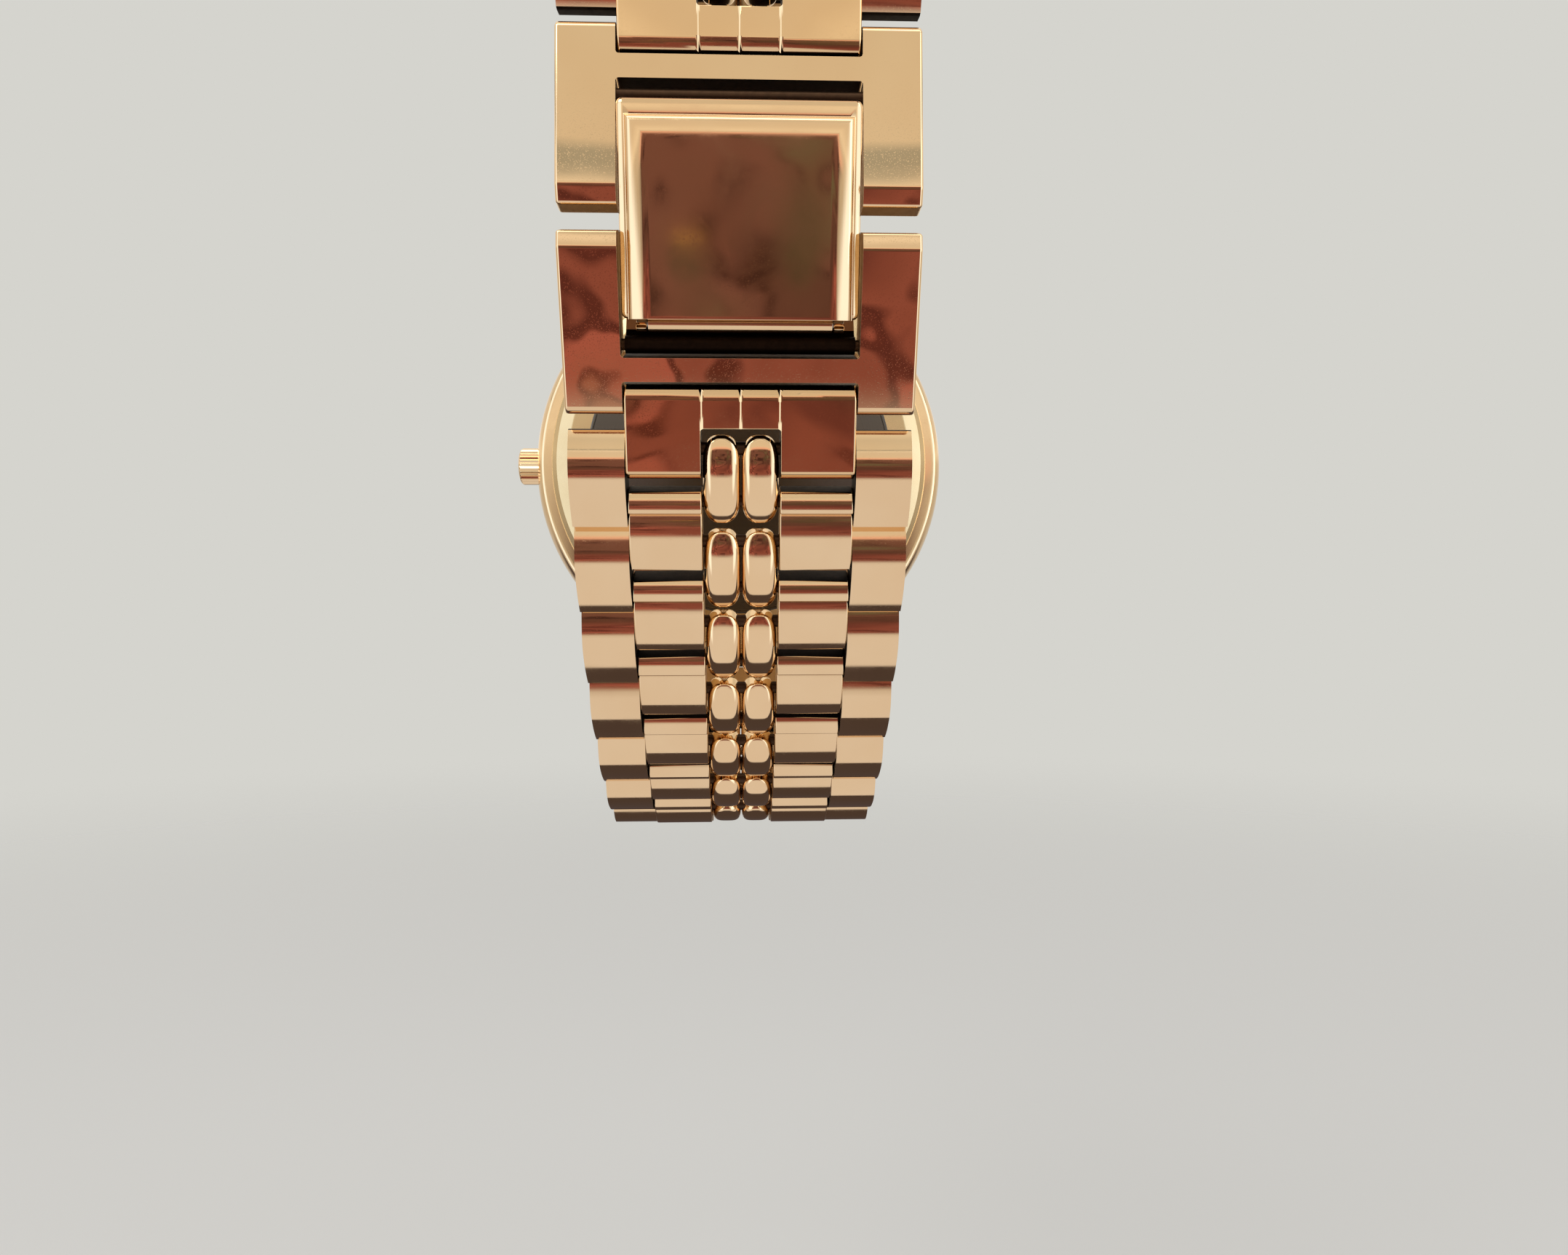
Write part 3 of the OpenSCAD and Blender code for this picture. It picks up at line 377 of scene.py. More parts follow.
nose = outer_mid - outer_len / 2
tail = outer_mid + outer_len / 2
outer_end = outer_x + outer_w
outer_centre = outer_x + outer_w / 2
outer_link = extrude_outline(
    "outer_link",
    [(nose + relief, -link_base), (nose, -0.3)]
    + round_back(nose_peak, nose_top, nose_r, nose, 0, 10)
    + round_back(outer_mid, link_top, shoulder_r, 0.1, outer_mid, 24)
    + round_back(outer_mid, link_top, flat_r, outer_mid + 0.12, tail, 18)
    + [(tail, -0.1), (tail - relief, -link_base)],
    outer_x,
    outer_end,
)
for pin_place in (0, second_pin):
    drill = add_rod("drill", link_pin_r + 0.01, outer_x - 1, outer_end + 1, pin_place, 0)
    take_boolean(outer_link, drill)
bevel_sharp(outer_link, flank_edge, 4, lambda p: p.z > 0.12 and nose + 0.02 < p.y < tail - 0.02)
bevel_sharp(outer_link, fine_edge, 2, lambda p: not -0.2 < p.z < 0.1 and abs(p.x - outer_centre) < 1.45)
# Faces toward the next links, the flank toward the inner link and the bores get the nearly black painted
# shade; the wrist side is satin
finish_faces(
    outer_link,
    (link_gold, gap_painted_shade, wrist_gold),
    lambda c, n: abs(n.y) > 0.75 and c.z < 0.32 or n.x < -0.9 or in_bore(c, n, (0, second_pin)),
    lambda c, n: n.z < -0.3,
)
polish_faces(outer_link)


# Inner links
# The broad middle blocks: a short raised head, a cut groove and a long rounded back.
# The same plated brass as the outer links, with rounder corners at the end.
inner_mid = outer_mid + 2.85
inner_len = link_pitch - 0.7
head_start = inner_mid - inner_len / 2
back_end = inner_mid + inner_len / 2
inner_end = back_end - link_pitch
inner_centre = inner_x + inner_w / 2
groove = head_start + inner_len * 0.26
head_r = 1.35
back_r = 3.7
end_edge = 0.26
top_edge = 0.11

inner_link = extrude_outline(
    "inner_link",
    [(head_start + 0.2, -link_base), (head_start, -0.3)]
    + round_back(groove - 0.15, link_top - 0.1, head_r, head_start, groove - 0.08, 14)
    + [(groove, link_top - 0.45)]
    + round_back(link_pitch - 0.1, link_top, back_r, groove + 0.1, back_end - 0.1, 34)
    + [(back_end, link_top - 0.6), (back_end, -0.3), (back_end - relief / 2, -link_base)],
    inner_x,
    inner_x + inner_w,
)
bevel_sharp(inner_link, end_edge, 4, lambda p: p.y > back_end - 0.01 and abs(p.x - inner_centre) > 1.9)
bevel_sharp(
    inner_link, top_edge, 3,
    lambda p: p.z > -0.2 and abs(p.y - groove) > 0.03 and abs(p.x - inner_centre) > 1.5,
)
bevel_sharp(
    inner_link, fine_edge, 2,
    lambda p: p.z > 0.3 and abs(p.y - groove) > 0.03 and abs(p.x - inner_centre) < 1.5,
)
for pin_place in (second_pin, link_pitch):
    drill = add_rod("drill", link_pin_r + 0.03, inner_x - 1, inner_x + inner_w + 1, pin_place, 0)
    take_boolean(inner_link, drill)
# The bores leave a few slivers of no size, which would upset the copies in an export
pick(inner_link)
bpy.ops.object.mode_set(mode="EDIT")
close_mesh()
# Faces toward the next links and the bores get the nearly black painted shade; the wrist side and the
# flanks are satin
finish_faces(
    inner_link,
    (link_gold, gap_painted_shade, wrist_gold),
    lambda c, n: abs(n.y) > 0.75 and c.z < 0.42 or in_bore(c, n, (second_pin, link_pitch)),
    lambda c, n: n.z < -0.3 or abs(n.x) > 0.9,
)
polish_faces(inner_link)


# Rice-grain beads
# Two rows of long rounded beads down the middle, bored for the same pins.
# Turned brass, barrel-polished and plated, so they are the brightest mirrors on the watch.
bead_len = link_pitch - 0.4
bead_rise = link_top - bead_w / 2
bead_mid = outer_mid + 0.05
bead_points = 16
bead_arch = 4.2
bead_square = 3.8
bead_gold = plated_gold(
    "gold_plated_brass_beads", "#EEC898", "#F5D4A8", 0.04, 0.08, hairlines=0.15, ripple=2e-6
)


def turn_profile(name, profile, steps):
    """A line of (radius, height) points turned round the Z axis."""
    piece = draw_outline(name, profile)
    bpy.ops.mesh.spin(steps=steps, angle=2 * math.pi, center=(0, 0, 0), axis=(0, 0, 1))
    close_mesh()
    return piece


bead_profile = [(0, -bead_len / 2)]
for step in range(1 - bead_points, bead_points):
    share = math.sin(math.pi / 2 * step / bead_points)
    bead_profile.append((bead_w / 2 * (1 - abs(share) ** 4.5) ** (1 / 2.3), share * bead_len / 2))
bead_profile.append((0, bead_len / 2))
bead = turn_profile("bead", bead_profile, 48)
# Rolled a little square, so that neighbours nearly touch, and arched along its outer side
for vertex in bead.data.vertices:
    reach = math.hypot(vertex.co.x, vertex.co.y)
    if reach > 1e-6:
        part_x = abs(vertex.co.x / reach) ** bead_square
        part_y = abs(vertex.co.y / reach) ** bead_square
        square = (part_x + part_y) ** (1 / bead_square)
        fall = bead_arch - math.sqrt(bead_arch**2 - vertex.co.z**2) if vertex.co.y < 0 else 0
        vertex.co.x /= square
        vertex.co.y *= min(1, (bead_w / 2 - fall) / reach) / square
bead_seat = Matrix.Translation((bead_x + bead_w / 2, bead_mid, bead_rise))
bead.data.transform(bead_seat @ Matrix.Rotation(-math.pi / 2, 4, "X"))
finish_faces(bead, (bead_gold, wrist_gold), lambda c, n: n.z < -0.4)
polish_faces(bead, 60)


# Link pins
# Two steel pins hold each unit together, and end just inside the outer links' flanks.
# Ground stainless wire with turned, slightly domed ends.
def ground_steel(name, tone, roughness):
    """Stainless steel, turned or ground: neutral, with fine rings round the part."""
    material = new_finish(name, Metallic=1, Base_Color=hex_colour(tone))
    place = add_node(material, "TexCoord")
    axes = add_node(material, "SeparateXYZ", {}, {"Vector": (place, "Object")})
    # Tool marks about 0.06 mm apart across the bracelet
    rings = add_node(
        material, "TexNoise", {"noise_dimensions": "1D", "Detail": 2, "Scale": 16000},
        {"W": (axes, "X")},
    )
    return feed_texture(material, rings, (roughness - 0.08, roughness + 0.1), 5e-7)


pin_steel = ground_steel("ground_stainless_pins", "#9A958D", 0.32)
# Painted shade: the pins' shanks, seen only in the gaps, are painted dark brown
pin_painted_shade = grained_finish("pin_steel_painted_shade", "#33241A", "#57402E", (0.55, 0.35), **grime_and_shade_grain)


def turned_pin(name, radius, length, y, z):
    """A cross pin with domed ends, centred across the bracelet."""
    dome = radius * 0.3
    half = length / 2
    start = [(0, -half), (radius * 0.6, -half + dome * 0.25), (radius, -half + dome)]
    pin = turn_profile(name, start + [(r, -z_end) for r, z_end in reversed(start)], 28)
    pin.data.transform(Matrix.Translation((0, y, z)) @ Matrix.Rotation(math.pi / 2, 4, "Y"))
    # The shank gets the dark painted shade, the domed ends plain steel
    finish_faces(pin, (pin_painted_shade, pin_steel), lambda c, n: abs(n.x) > 0.3)
    polish_faces(pin, 50)
    return pin


link_pins = [
    turned_pin("link_pin", link_pin_r, band_w - 0.2, pin_place, 0) for pin_place in (0, second_pin)
]


# Link units
# One unit is two outer links, two inner links and two beads on two pins.
# Each inner link reaches over the next unit's first pin, which is the hinge.
joint_place = {
    joint["name"]: Vector(joint["pos_m"]) for joint in frame["joints"] if "pos_m" in joint
}
links_on_side = {12: 12, 6: 10}


def hinge_line(side):
    """Where the pins lie at rest, from the clasp frame to the head."""
    names = [f"clasp_frame_{side}_hinge", f"end_link_{side}_hinge"]
    names += [f"link_{side}_{i}_hinge" for i in range(1, links_on_side[side] + 1)]
    return [joint_place[name] for name in names]


def lie_in_loop(side, start, along):
    """Takes a drawing in millimetres (X across, Y along, Z outwards) to its place in the loop."""
    across = Vector((1 if side == 12 else -1, 0, 0))
    along = along.normalized()
    turn = Matrix((across, along, across.cross(along))).transposed().to_4x4()
    return Matrix.Translation(start) @ turn @ Matrix.Scale(mm, 4)


def hand_over(piece, body, node):
    """Gives a finished piece to its body, in place of the CAD node that it dresses."""
    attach(piece, body)
    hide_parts(node)


mirror_x = Matrix.Scale(-1, 4, (1, 0, 0))


def mirrored(piece, name):
    """The piece's twin on the other side of the bracelet."""
    twin = copy_of(piece, name, mirror_x)
    pick(twin)
    bpy.ops.object.mode_set(mode="EDIT")
    bpy.ops.mesh.select_all(action="SELECT")
    bpy.ops.mesh.flip_normals()
    bpy.ops.object.mode_set(mode="OBJECT")
    polish_faces(twin)
    return twin


half_unit = [outer_link, inner_link, bead]
twins = [mirrored(piece, piece.name + "_twin") for piece in half_unit]
link_unit = join_pieces("link_unit", half_unit + twins + link_pins)
for side, count in links_on_side.items():
    pins = hinge_line(side)
    for i in range(1, count + 1):
        place = lie_in_loop(side, pins[i], pins[i + 1] - pins[i])
        unit = copy_of(link_unit, f"beaded_link_{side}_{i}", place)
        hand_over(unit, f"link_{side}_{i}", f"link_{side}_{i}")
bpy.data.objects.remove(link_unit)


# End links
# A plate as wide as the middle columns joins the first links to each clasp frame.
# Cast and plated, with three engraved lines and a notch for the first beads.
end_link_reach = 2.65
end_link_half = inner_x + inner_w
end_top = 1.0
end_tail = end_link_reach + inner_end
notch_start = end_link_reach + bead_mid - bead_len / 2 - 0.4
notch_corner = 0.16
curl_r = 0.65
end_gold = plated_gold("gold_plated_brass_end_links", "#E6BF8E", "#EDC99A", 0.05, 0.11, ripple=7e-6)


def round_corner(cy, cz, ry, rz, a0, a1, steps):
    """Points on an elliptical arc, angles in degrees."""
    angles = [math.radians(a0 + (a1 - a0) * i / steps) for i in range(steps + 1)]
    return [(cy + ry * math.cos(a), cz + rz * math.sin(a)) for a in angles]


def add_block(name, low, high, corner=0.0):
    """A block between two corners, its upright edges rounded, used as a cutter."""
    bpy.ops.object.select_all(action="DESELECT")
    middle = [(a + b) / 2 for a, b in zip(low, high)]
    spans = [b - a for a, b in zip(low, high)]
    bpy.ops.mesh.primitive_cube_add(size=1, location=middle, scale=spans)
    block = set_primitive(name)
    if corner:
        bevel_sharp(block, corner, 5, lambda p: abs(p.z - middle[2]) < 1e-3)
    return block


def cut_line(piece, x, start, end, half_width):
    """Engraves a V line along the piece's face from one (y, z) point to another."""
    dy, dz = end[0] - start[0], end[1] - start[1]
    bpy.ops.object.select_all(action="DESELECT")
    bpy.ops.mesh.primitive_cylinder_add(
        vertices=4, radius=half_width, depth=math.hypot(dy, dz),
        location=(x, (start[0] + end[0]) / 2, (start[1] + end[1]) / 2),
        rotation=(math.atan2(-dy, dz), 0, 0),
        scale=(1, 0.42, 1),
    )
    take_boolean(piece, set_primitive("graver"))


end_link = extrude_outline(
    "end_link",
    [(-0.1, -link_base + 0.2)]
    + round_corner(0, -0.2, curl_r, curl_r, 230, 180, 6)
    + [(-curl_r, 0.3), (-0.5, 0.68), (0.05, end_top)]
    + [(end_tail - 0.35, end_top + 0.1), (end_tail, end_top - 0.3)]
    + [(end_tail, -0.3), (end_tail - relief / 2, -link_base)],
    -end_link_half,
    end_link_half,
)
bevel_sharp(end_link, 0.12, 3, lambda p: abs(p.x) > end_link_half - 0.01 and p.z > -0.3)
notch = add_block("notch", (-inner_x, notch_start, -3), (inner_x, end_tail + 2, 3), notch_corner)
take_boolean(end_link, notch)
bevel_sharp(end_link, fine_edge, 2, lambda p: p.z > 0.3 and abs(p.x) < end_link_half - 0.2)
for line in (-inner_x + 0.06, 0, inner_x - 0.06):
    cut_line(end_link, line, (-0.66, 0.6), (0.1, 1.01), 0.15)
    cut_line(end_link, line, (-0.2, end_top - 0.005), (notch_start + 0.3, end_top + 0.045), 0.09)
for pin_place in (0, end_link_reach):
    take_boolean(end_link, add_rod("drill", link_pin_r + 0.03, -10, 10, pin_place, 0))
# The flanks, the faces toward the frame and the first beads, and the bores get the nearly black painted
# shade; the wrist side is satin
finish_faces(
    end_link,
    (end_gold, gap_painted_shade, wrist_gold),
    lambda c, n: abs(n.x) > 0.9 and c.z < 0.85
    or abs(n.y) > 0.75 and (c.z < 0.3 or abs(c.x) < inner_x)
    or in_bore(c, n, (0, end_link_reach)),
    lambda c, n: n.z < -0.3,
)
polish_faces(end_link)
for side in (12, 6):
    pins = hinge_line(side)
    plate = copy_of(end_link, f"engraved_end_link_{side}", lie_in_loop(side, pins[0], pins[1] - pins[0]))
    hand_over(plate, f"end_link_{side}", f"end_link_{side}")
bpy.data.objects.remove(end_link)


# Clasp frames
# Two H-shaped frames meet across the clasp's gap, each with a cross bar and two arms.
# Stamped brass, milled, with rounded noses at the gap, bright broken edges and gold plate.
frame_len = 8.95
frame_t = 1.9
slot_w = 2 * end_link_half + 0.12
bar_start = 6.05
bar_w = 1.2
end_pin_s = 8.15
end_pin_depth = 0.95
frame_lean = {12: 2, 6: 20}
slot_corner = 0.17
frame_gold = plated_gold("gold_plated_brass_frames", "#EBC597", "#F3D1A4", 0.01, 0.04, ripple=4e-6)


def frame_nose(lip_depth, brow_y, meet):
    """The nose's outline: a small round lip, then a wider brow; they meet at so many degrees."""
    lip = round_corner(0.2, lip_depth, 0.2, 0.19, 175, meet, 4)
    return [(0, -0.6)] + lip + round_corner(brow_y, -0.6, 0.6, 0.6, meet, 90, 5)


frame_seat = {}
for side, nose_outline in ((12, frame_nose(-0.5, 0.96, 115)), (6, frame_nose(-0.433, 0.86, 113))):
    lean = math.radians(frame_lean[side])
    away = Vector((0, math.sin(lean), math.cos(lean) if side == 12 else -math.cos(lean)))
    seat = lie_in_loop(side, hinge_line(side)[0], away)
    seat = seat @ Matrix.Translation((0, -end_pin_s, end_pin_depth))
    frame_seat[side] = seat
    h_frame = extrude_outline(
        f"clasp_h_frame_{side}",
        [(0.25, -frame_t), (0, -frame_t + 0.25)]
        + nose_outline
        + [(frame_len - 0.28, 0), (frame_len, -0.28)]
        + [(frame_len, -frame_t + 0.3), (frame_len - 0.3, -frame_t)],
        -band_w / 2,
        band_w / 2,
    )
    bevel_sharp(h_frame, 0.17, 4, lambda p: abs(p.x) > band_w / 2 - 0.01 and p.z > -frame_t + 0.3)
    for low, high in ((-1, bar_start), (bar_start + bar_w, frame_len + 1)):
        slot = add_block("slot", (-slot_w / 2, low, -frame_t - 1), (slot_w / 2, high, 1), slot_corner)
        take_boolean(h_frame, slot)
    bevel_sharp(h_frame, 0.07, 3, lambda p: p.z > -0.62 and abs(p.x) < slot_w / 2 + 0.02)
    # The slots' end walls get the nearly black painted shade; the wrist side and the slot sides are
    # satin
    finish_faces(
        h_frame,
        (frame_gold, gap_painted_shade, wrist_gold),
        lambda c, n: abs(n.y) > 0.9 and abs(c.x) < slot_w / 2 and c.z < -0.12,
        lambda c, n: n.z < -0.3
        or abs(n.x) > 0.9 and abs(c.x) < slot_w / 2 + 0.01
        or n.y < -0.9 and c.z < -0.3,
    )
    polish_faces(h_frame)
    h_frame.data.transform(seat)
    hand_over(h_frame, f"clasp_frame_{side}", f"clasp_frame_{side}")

# Each frame holds two pins: one for its end link, one for the clasp
frame_pin_len = slot_w + 3
clasp_pin_r = 0.3
for side, clasp_pin_s, clasp_pin_depth in ((12, 5.4, 0.45), (6, 5.5, end_pin_depth)):
    end_pin = turned_pin("pin", link_pin_r, frame_pin_len, end_pin_s, -end_pin_depth)
    clasp_pin = turned_pin("pin", clasp_pin_r, frame_pin_len, clasp_pin_s, -clasp_pin_depth)
    held = join_pieces(f"frame_pins_pair_{side}", [end_pin, clasp_pin])
    held.data.transform(frame_seat[side])
    hand_over(held, f"clasp_frame_{side}", f"frame_pins_{side}")


# Clasp cover
# The crowned plate that snaps over the fold: a flat rim, pillowed shoulders and a level middle.
# Pressed and plated brass; it is handled most, so smears dull it more than the links.
cover_len = 10.2
cover_t = 1.0
cover_w = slot_w - 0.16
cover_lean = 13
fold_pin_s = cover_len + 0.15
fold_pin_depth = cover_t + 0.1
fold_pin_r = 0.25
side_rim = 0.3
head_rim = 0.62
rise = 0.34
rim_fall = 0.07
ear_in = 9.3 / 2 + 0.08
ear_w = 0.55
knuckle_r = 0.45
lug_w = 0.57
cover_gold = plated_gold(
    "gold_plated_brass_cover", "#EBC597", "#F1D0A4", 0.06, 0.14, hairlines=0.3, ripple=6e-6
)

lean = math.radians(cover_lean)
down_cover = Vector((0, math.sin(lean), -math.cos(lean)))
cover_seat = lie_in_loop(6, joint_place["cover_hinge"], down_cover)
cover_seat = cover_seat @ Matrix.Translation((0, -fold_pin_s, fold_pin_depth))


def select_top(piece):
    """Selects the piece's broad top face and stays in edit mode."""
    pick(piece)
    bpy.ops.object.mode_set(mode="EDIT")
    bpy.ops.mesh.select_mode(type="FACE")
    bpy.ops.mesh.select_all(action="DESELECT")
    bpy.ops.object.mode_set(mode="OBJECT")
    for face in piece.data.polygons:
        face.select = face.normal.z > 0.99 and face.area > 10
    bpy.ops.object.mode_set(mode="EDIT")


# The plate, whose rim falls away to the sides and the head
cover = add_block(
    "crowned_cover", (-cover_w / 2, -0.14, -cover_t), (cover_w / 2, cover_len - 0.06, -rise), 0.42
)
bevel_sharp(cover, 0.1, 3, lambda p: p.z > -rise - 0.01)
select_top(cover)
bpy.ops.mesh.inset(thickness=side_rim, depth=0)
bpy.ops.object.mode_set(mode="OBJECT")
rim_inside = set(next(face for face in cover.data.polygons if face.select).vertices)
for vertex in cover.data.vertices:
    if vertex.index not in rim_inside and vertex.co.z > -rise - 0.12:
        vertex.co.z -= rim_fall * min(1, (cover_len - vertex.co.y) / 0.7)

# The pillow: its shoulders curve up from the rim and run out into the nearly flat middle
pillow_half = cover_w / 2 - side_rim - 0.04
pillow = add_block(
    "pillow", (-pillow_half, head_rim, -rise - 0.12), (pillow_half, cover_len + 1, -rise + 0.02), 0.85
)


def raise_steps(steps):
    """Insets the selected face step by step, each (spread, lift) a little higher."""
    for spread, lift in steps:
        bpy.ops.mesh.inset(thickness=spread)
        bpy.ops.transform.translate(value=(0, 0, lift))


select_top(pillow)
raise_steps(((0.015, 0.045), (0.055, 0.055), (0.09, 0.055), (0.12, 0.05), (0.13, 0.045)))
raise_steps(((0.13, 0.038), (0.12, 0.03), (0.1, 0.022), (0.08, 0.012)))
bpy.ops.mesh.select_mode(type="VERT")
bpy.ops.mesh.remove_doubles(threshold=0.02)
bpy.ops.mesh.select_mode(type="FACE")
raise_steps(((0.3, 0.009), (0.5, 0.014), (0.7, 0.012), (0.9, 0.008), (1.0, 0.003)))
bpy.ops.object.mode_set(mode="OBJECT")
take_boolean(pillow, add_block("foot_cut", (-9, cover_len - 0.02, -3), (9, cover_len + 3, 3)))
bevel_sharp(pillow, 0.07, 3, lambda p: p.y > cover_len - 0.03)
take_boolean(cover, pillow, "UNION")

# Two ears hold the fold's pin, and two lugs hook over the upper frame's pin
ear_outline = (
    [(cover_len - 0.9, -cover_t + 0.1), (fold_pin_s - 0.15, -cover_t + 0.1)]
    + round_corner(fold_pin_s, -fold_pin_depth, knuckle_r, knuckle_r, 60, -90, 12)
    + [(cover_len - 0.9, -cover_t - 0.05)]
)
lug_outline = [(1.2, -0.9), (0.05, -0.9), (0.008, -1.35), (0.008, -2.1), (0.458, -2.1)]
for sign in (-1, 1):
    for outline, inner, outer in (
        (ear_outline, ear_in, ear_in + ear_w),
        (lug_outline, cover_w / 2 - lug_w, cover_w / 2 - 0.01),
    ):
        prong = extrude_outline("prong", outline, *sorted((sign * inner, sign * outer)))
        bevel_sharp(prong, fine_edge, 2, lambda p: p.z < -cover_t - 0.02)
        take_boolean(cover, prong, "UNION")
for bore, half in ((knuckle_r + 0.05, ear_in), (fold_pin_r + 0.01, 10)):
    take_boolean(cover, add_rod("drill", bore, -half, half, fold_pin_s, -fold_pin_depth))
# The faces at the lug end, below the rim, get the nearly black painted shade; the wrist side is satin
finish_faces(
    cover,
    (cover_gold, gap_painted_shade, wrist_gold),
    lambda c, n: n.y < -0.85 and c.z < -rise - rim_fall - 0.05,
    lambda c, n: n.z < -0.5,
)
pick(cover)
bpy.ops.object.shade_smooth_by_angle(angle=math.radians(30))
cover.data.transform(cover_seat)
hand_over(cover, "clasp_cover", "clasp_cover")


# Folding leaves
# The middle leaf and the inner leaf that fold flat behind the cover, with rolled knuckles.
# Stamped from brass strip: the rolled lip is polished and the rest is left satin, but the inner leaf's
# lower part is painted nearly black as painted shade.
def break_edges(node, name, width, segments=2, sharpness=35):
    """A merged copy of a CAD node with its sharp edges bevelled, as a maker does with a file."""
    piece = copy_of(frame["nodes"][node], name)
    piece.parent = None
    for key in list(piece.keys()):
        del piece[key]
    piece.data.materials.clear()
    piece.data.transform(Matrix.Scale(1 / mm, 4))
    pick(piece)
    bpy.ops.object.mode_set(mode="EDIT")
    bpy.ops.mesh.select_all(action="SELECT")
    bpy.ops.mesh.customdata_custom_splitnormals_clear()
    bpy.ops.mesh.remove_doubles(threshold=1e-3)
    bpy.ops.mesh.dissolve_limited(angle_limit=math.radians(0.5))
    bpy.ops.object.mode_set(mode="OBJECT")
    bevel_sharp(piece, width, segments, lambda p: True, sharpness)
    return piece


def finish_piece(piece, body, slot, node, materials, *tests):
    """Gives a piece drawn in the object's own frame its materials, smooths it and hands it over."""
    finish_faces(piece, materials, *tests)
    polish_faces(piece)
    piece.data.transform(Matrix.Scale(mm, 4))
    hand_over(piece, body, node)


lip_gold = plated_gold("gold_plated_brass_leaf", "#EBC597", "#F1D0A4", 0.12, 0.2, ripple=4e-6)
middle_leaf = break_edges("clasp_link_blade", "folding_middle_leaf", fine_edge)
finish_piece(
    middle_leaf, "link_blade", "plated_gold", "clasp_link_blade", (lip_gold, wrist_gold),
    lambda c, n: c.z > -0.9,
)
inner_leaf = break_edges("clasp_base_blade", "folding_inner_leaf", fine_edge)
# Its foot spreads to fill the frame's slot
foot_spread = 1.11
for vertex in inner_leaf.data.vertices:
    if vertex.co.z < -1:
        vertex.co.x *= foot_spread
# Below 0.2 mm the leaf gets the nearly black painted shade of the gaps
finish_piece(
    inner_leaf, "base_blade", "plated_gold", "clasp_base_blade", (wrist_gold, gap_painted_shade),
    lambda c, n: c.z < 0.2,
)
for pin_node, pin_body in (("cover_pin", "clasp_cover"), ("blade_pin", "base_blade")):
    domed_pin = break_edges(pin_node, pin_node + "_domed", 0.06)
    finish_piece(domed_pin, pin_body, "pin_steel", pin_node, (pin_steel,))


# Case middle
# The round case with its four lugs, bored for the movement, the crown tube and the spring bars.
# Turned and milled from brass, polished all over and plated.
head_y, head_z = 22.5, -3.4
bore_r = 14
case_base, case_top = -2.5, 2.3
spring_bar_y, spring_bar_z = 18.35, -0.6
head_turn = Matrix.Rotation(-math.pi / 2, 4, "X")
head_seat = Matrix.Scale(mm, 4) @ Matrix.Translation((0, head_y, head_z)) @ head_turn
case_gold = plated_gold("gold_plated_brass_case", "#ECC99C", "#F3D4A9", 0.07, 0.14, ripple=4e-6)

# From the bore outwards: the gasket's groove, the barrel flank, the top and the dial's seat
case_profile = (
    [(bore_r, case_base), (14.5, case_base), (14.5, -2.1), (15.1, -2.1), (15.1, case_base)]
    + [(16.6, case_base)]
    + round_corner(16.7, 0, 0.9, 2.5, -80, 60, 20)
    + [(16.9, 2.2), (16.8, case_top), (13.2, case_top), (13.2, 1.22)]
    + [(bore_r, 1.22), (bore_r, case_base)]
)
case = turn_profile("case_middle", case_profile, 128)
lug_profile = (
    [(12.67, 2.0), (16.4, 1.93)]
    + round_corner(16.6, -0.9, 3.15, 2.83, 78, 0, 9)
    + [(19.5, -1.9), (19.3, -2.25), (18.6, -2.34), (14.08, -2.4), (12.67, -2.1)]
)
lug_gap = band_w / 2 + 0.08
lug_t = 2
for across in (-1, 1):
    for end in (-1, 1):
        outline = [(end * y, z) for y, z in lug_profile]
        lug = extrude_outline("lug", outline, *sorted((across * lug_gap, across * (lug_gap + lug_t))))
        bevel_sharp(lug, 0.28, 4, lambda p: abs(p.y) > 13.5)
        take_boolean(case, lug, "UNION")
# Holes for the two spring bars, the crown's tube and the crown's foot
for bore, x0, x1, y, z, sides in (
    (0.61, -9.98, 9.98, -spring_bar_y, spring_bar_z, 40),
    (0.61, -9.98, 9.98, spring_bar_y, spring_bar_z, 40),
    (1.06, -19.6, -13.6, 0, 0, 40),
    (1.725, -19.6, -17.03, 0, 0, 48),
):
    take_boolean(case, add_rod("drill", bore, x0, x1, y, z, sides))


def finish_head_piece(piece, node, slot, materials, *tests, angle=30):
    """Gives a piece drawn in the head's frame its materials and sets it in the head."""
    finish_faces(piece, materials, *tests)
    polish_faces(piece, angle)
    piece.data.transform(head_seat)
    hand_over(piece, "head", node)


finish_head_piece(
    case, "case_body", "plated_gold", (case_gold, wrist_gold),
    lambda c, n: math.hypot(c.x, c.y) < 14.6 or abs(n.x) > 0.9 and abs(c.x) < 9.2,
)


# Bezel
# A rounded polished ring pressed onto the case; it holds the crystal.
# Turned from the same brass, with a small step at its foot.
bezel_inner = 14.2
bezel_profile = (
    [(bezel_inner, case_top), (16.75, case_top), (16.85, 2.38), (16.85, 2.6)]
    + round_corner(14.55, 2.6, 2.3, 1.1, 0, 90, 20)
    + [(bezel_inner + 0.1, 3.7), (bezel_inner, 3.6), (bezel_inner, case_top)]
)
bezel = turn_profile("rounded_bezel", bezel_profile, 128)
finish_head_piece(bezel, "bezel", "plated_gold", (case_gold,))


# Crystal and its gasket
# A flat mineral glass with a polished bevel, pressed into a clear nylon ring.
# Black rubber rings seal the case back and the crown.
crystal_r = 13.92
crystal_base, crystal_top = 2.35, 3.65
crystal_glass = new_finish(
    "polished_mineral_glass", Base_Color=hex_colour("#FAFDFC"), Transmission_Weight=1, IOR=1.52,
    Roughness=0.01,
)
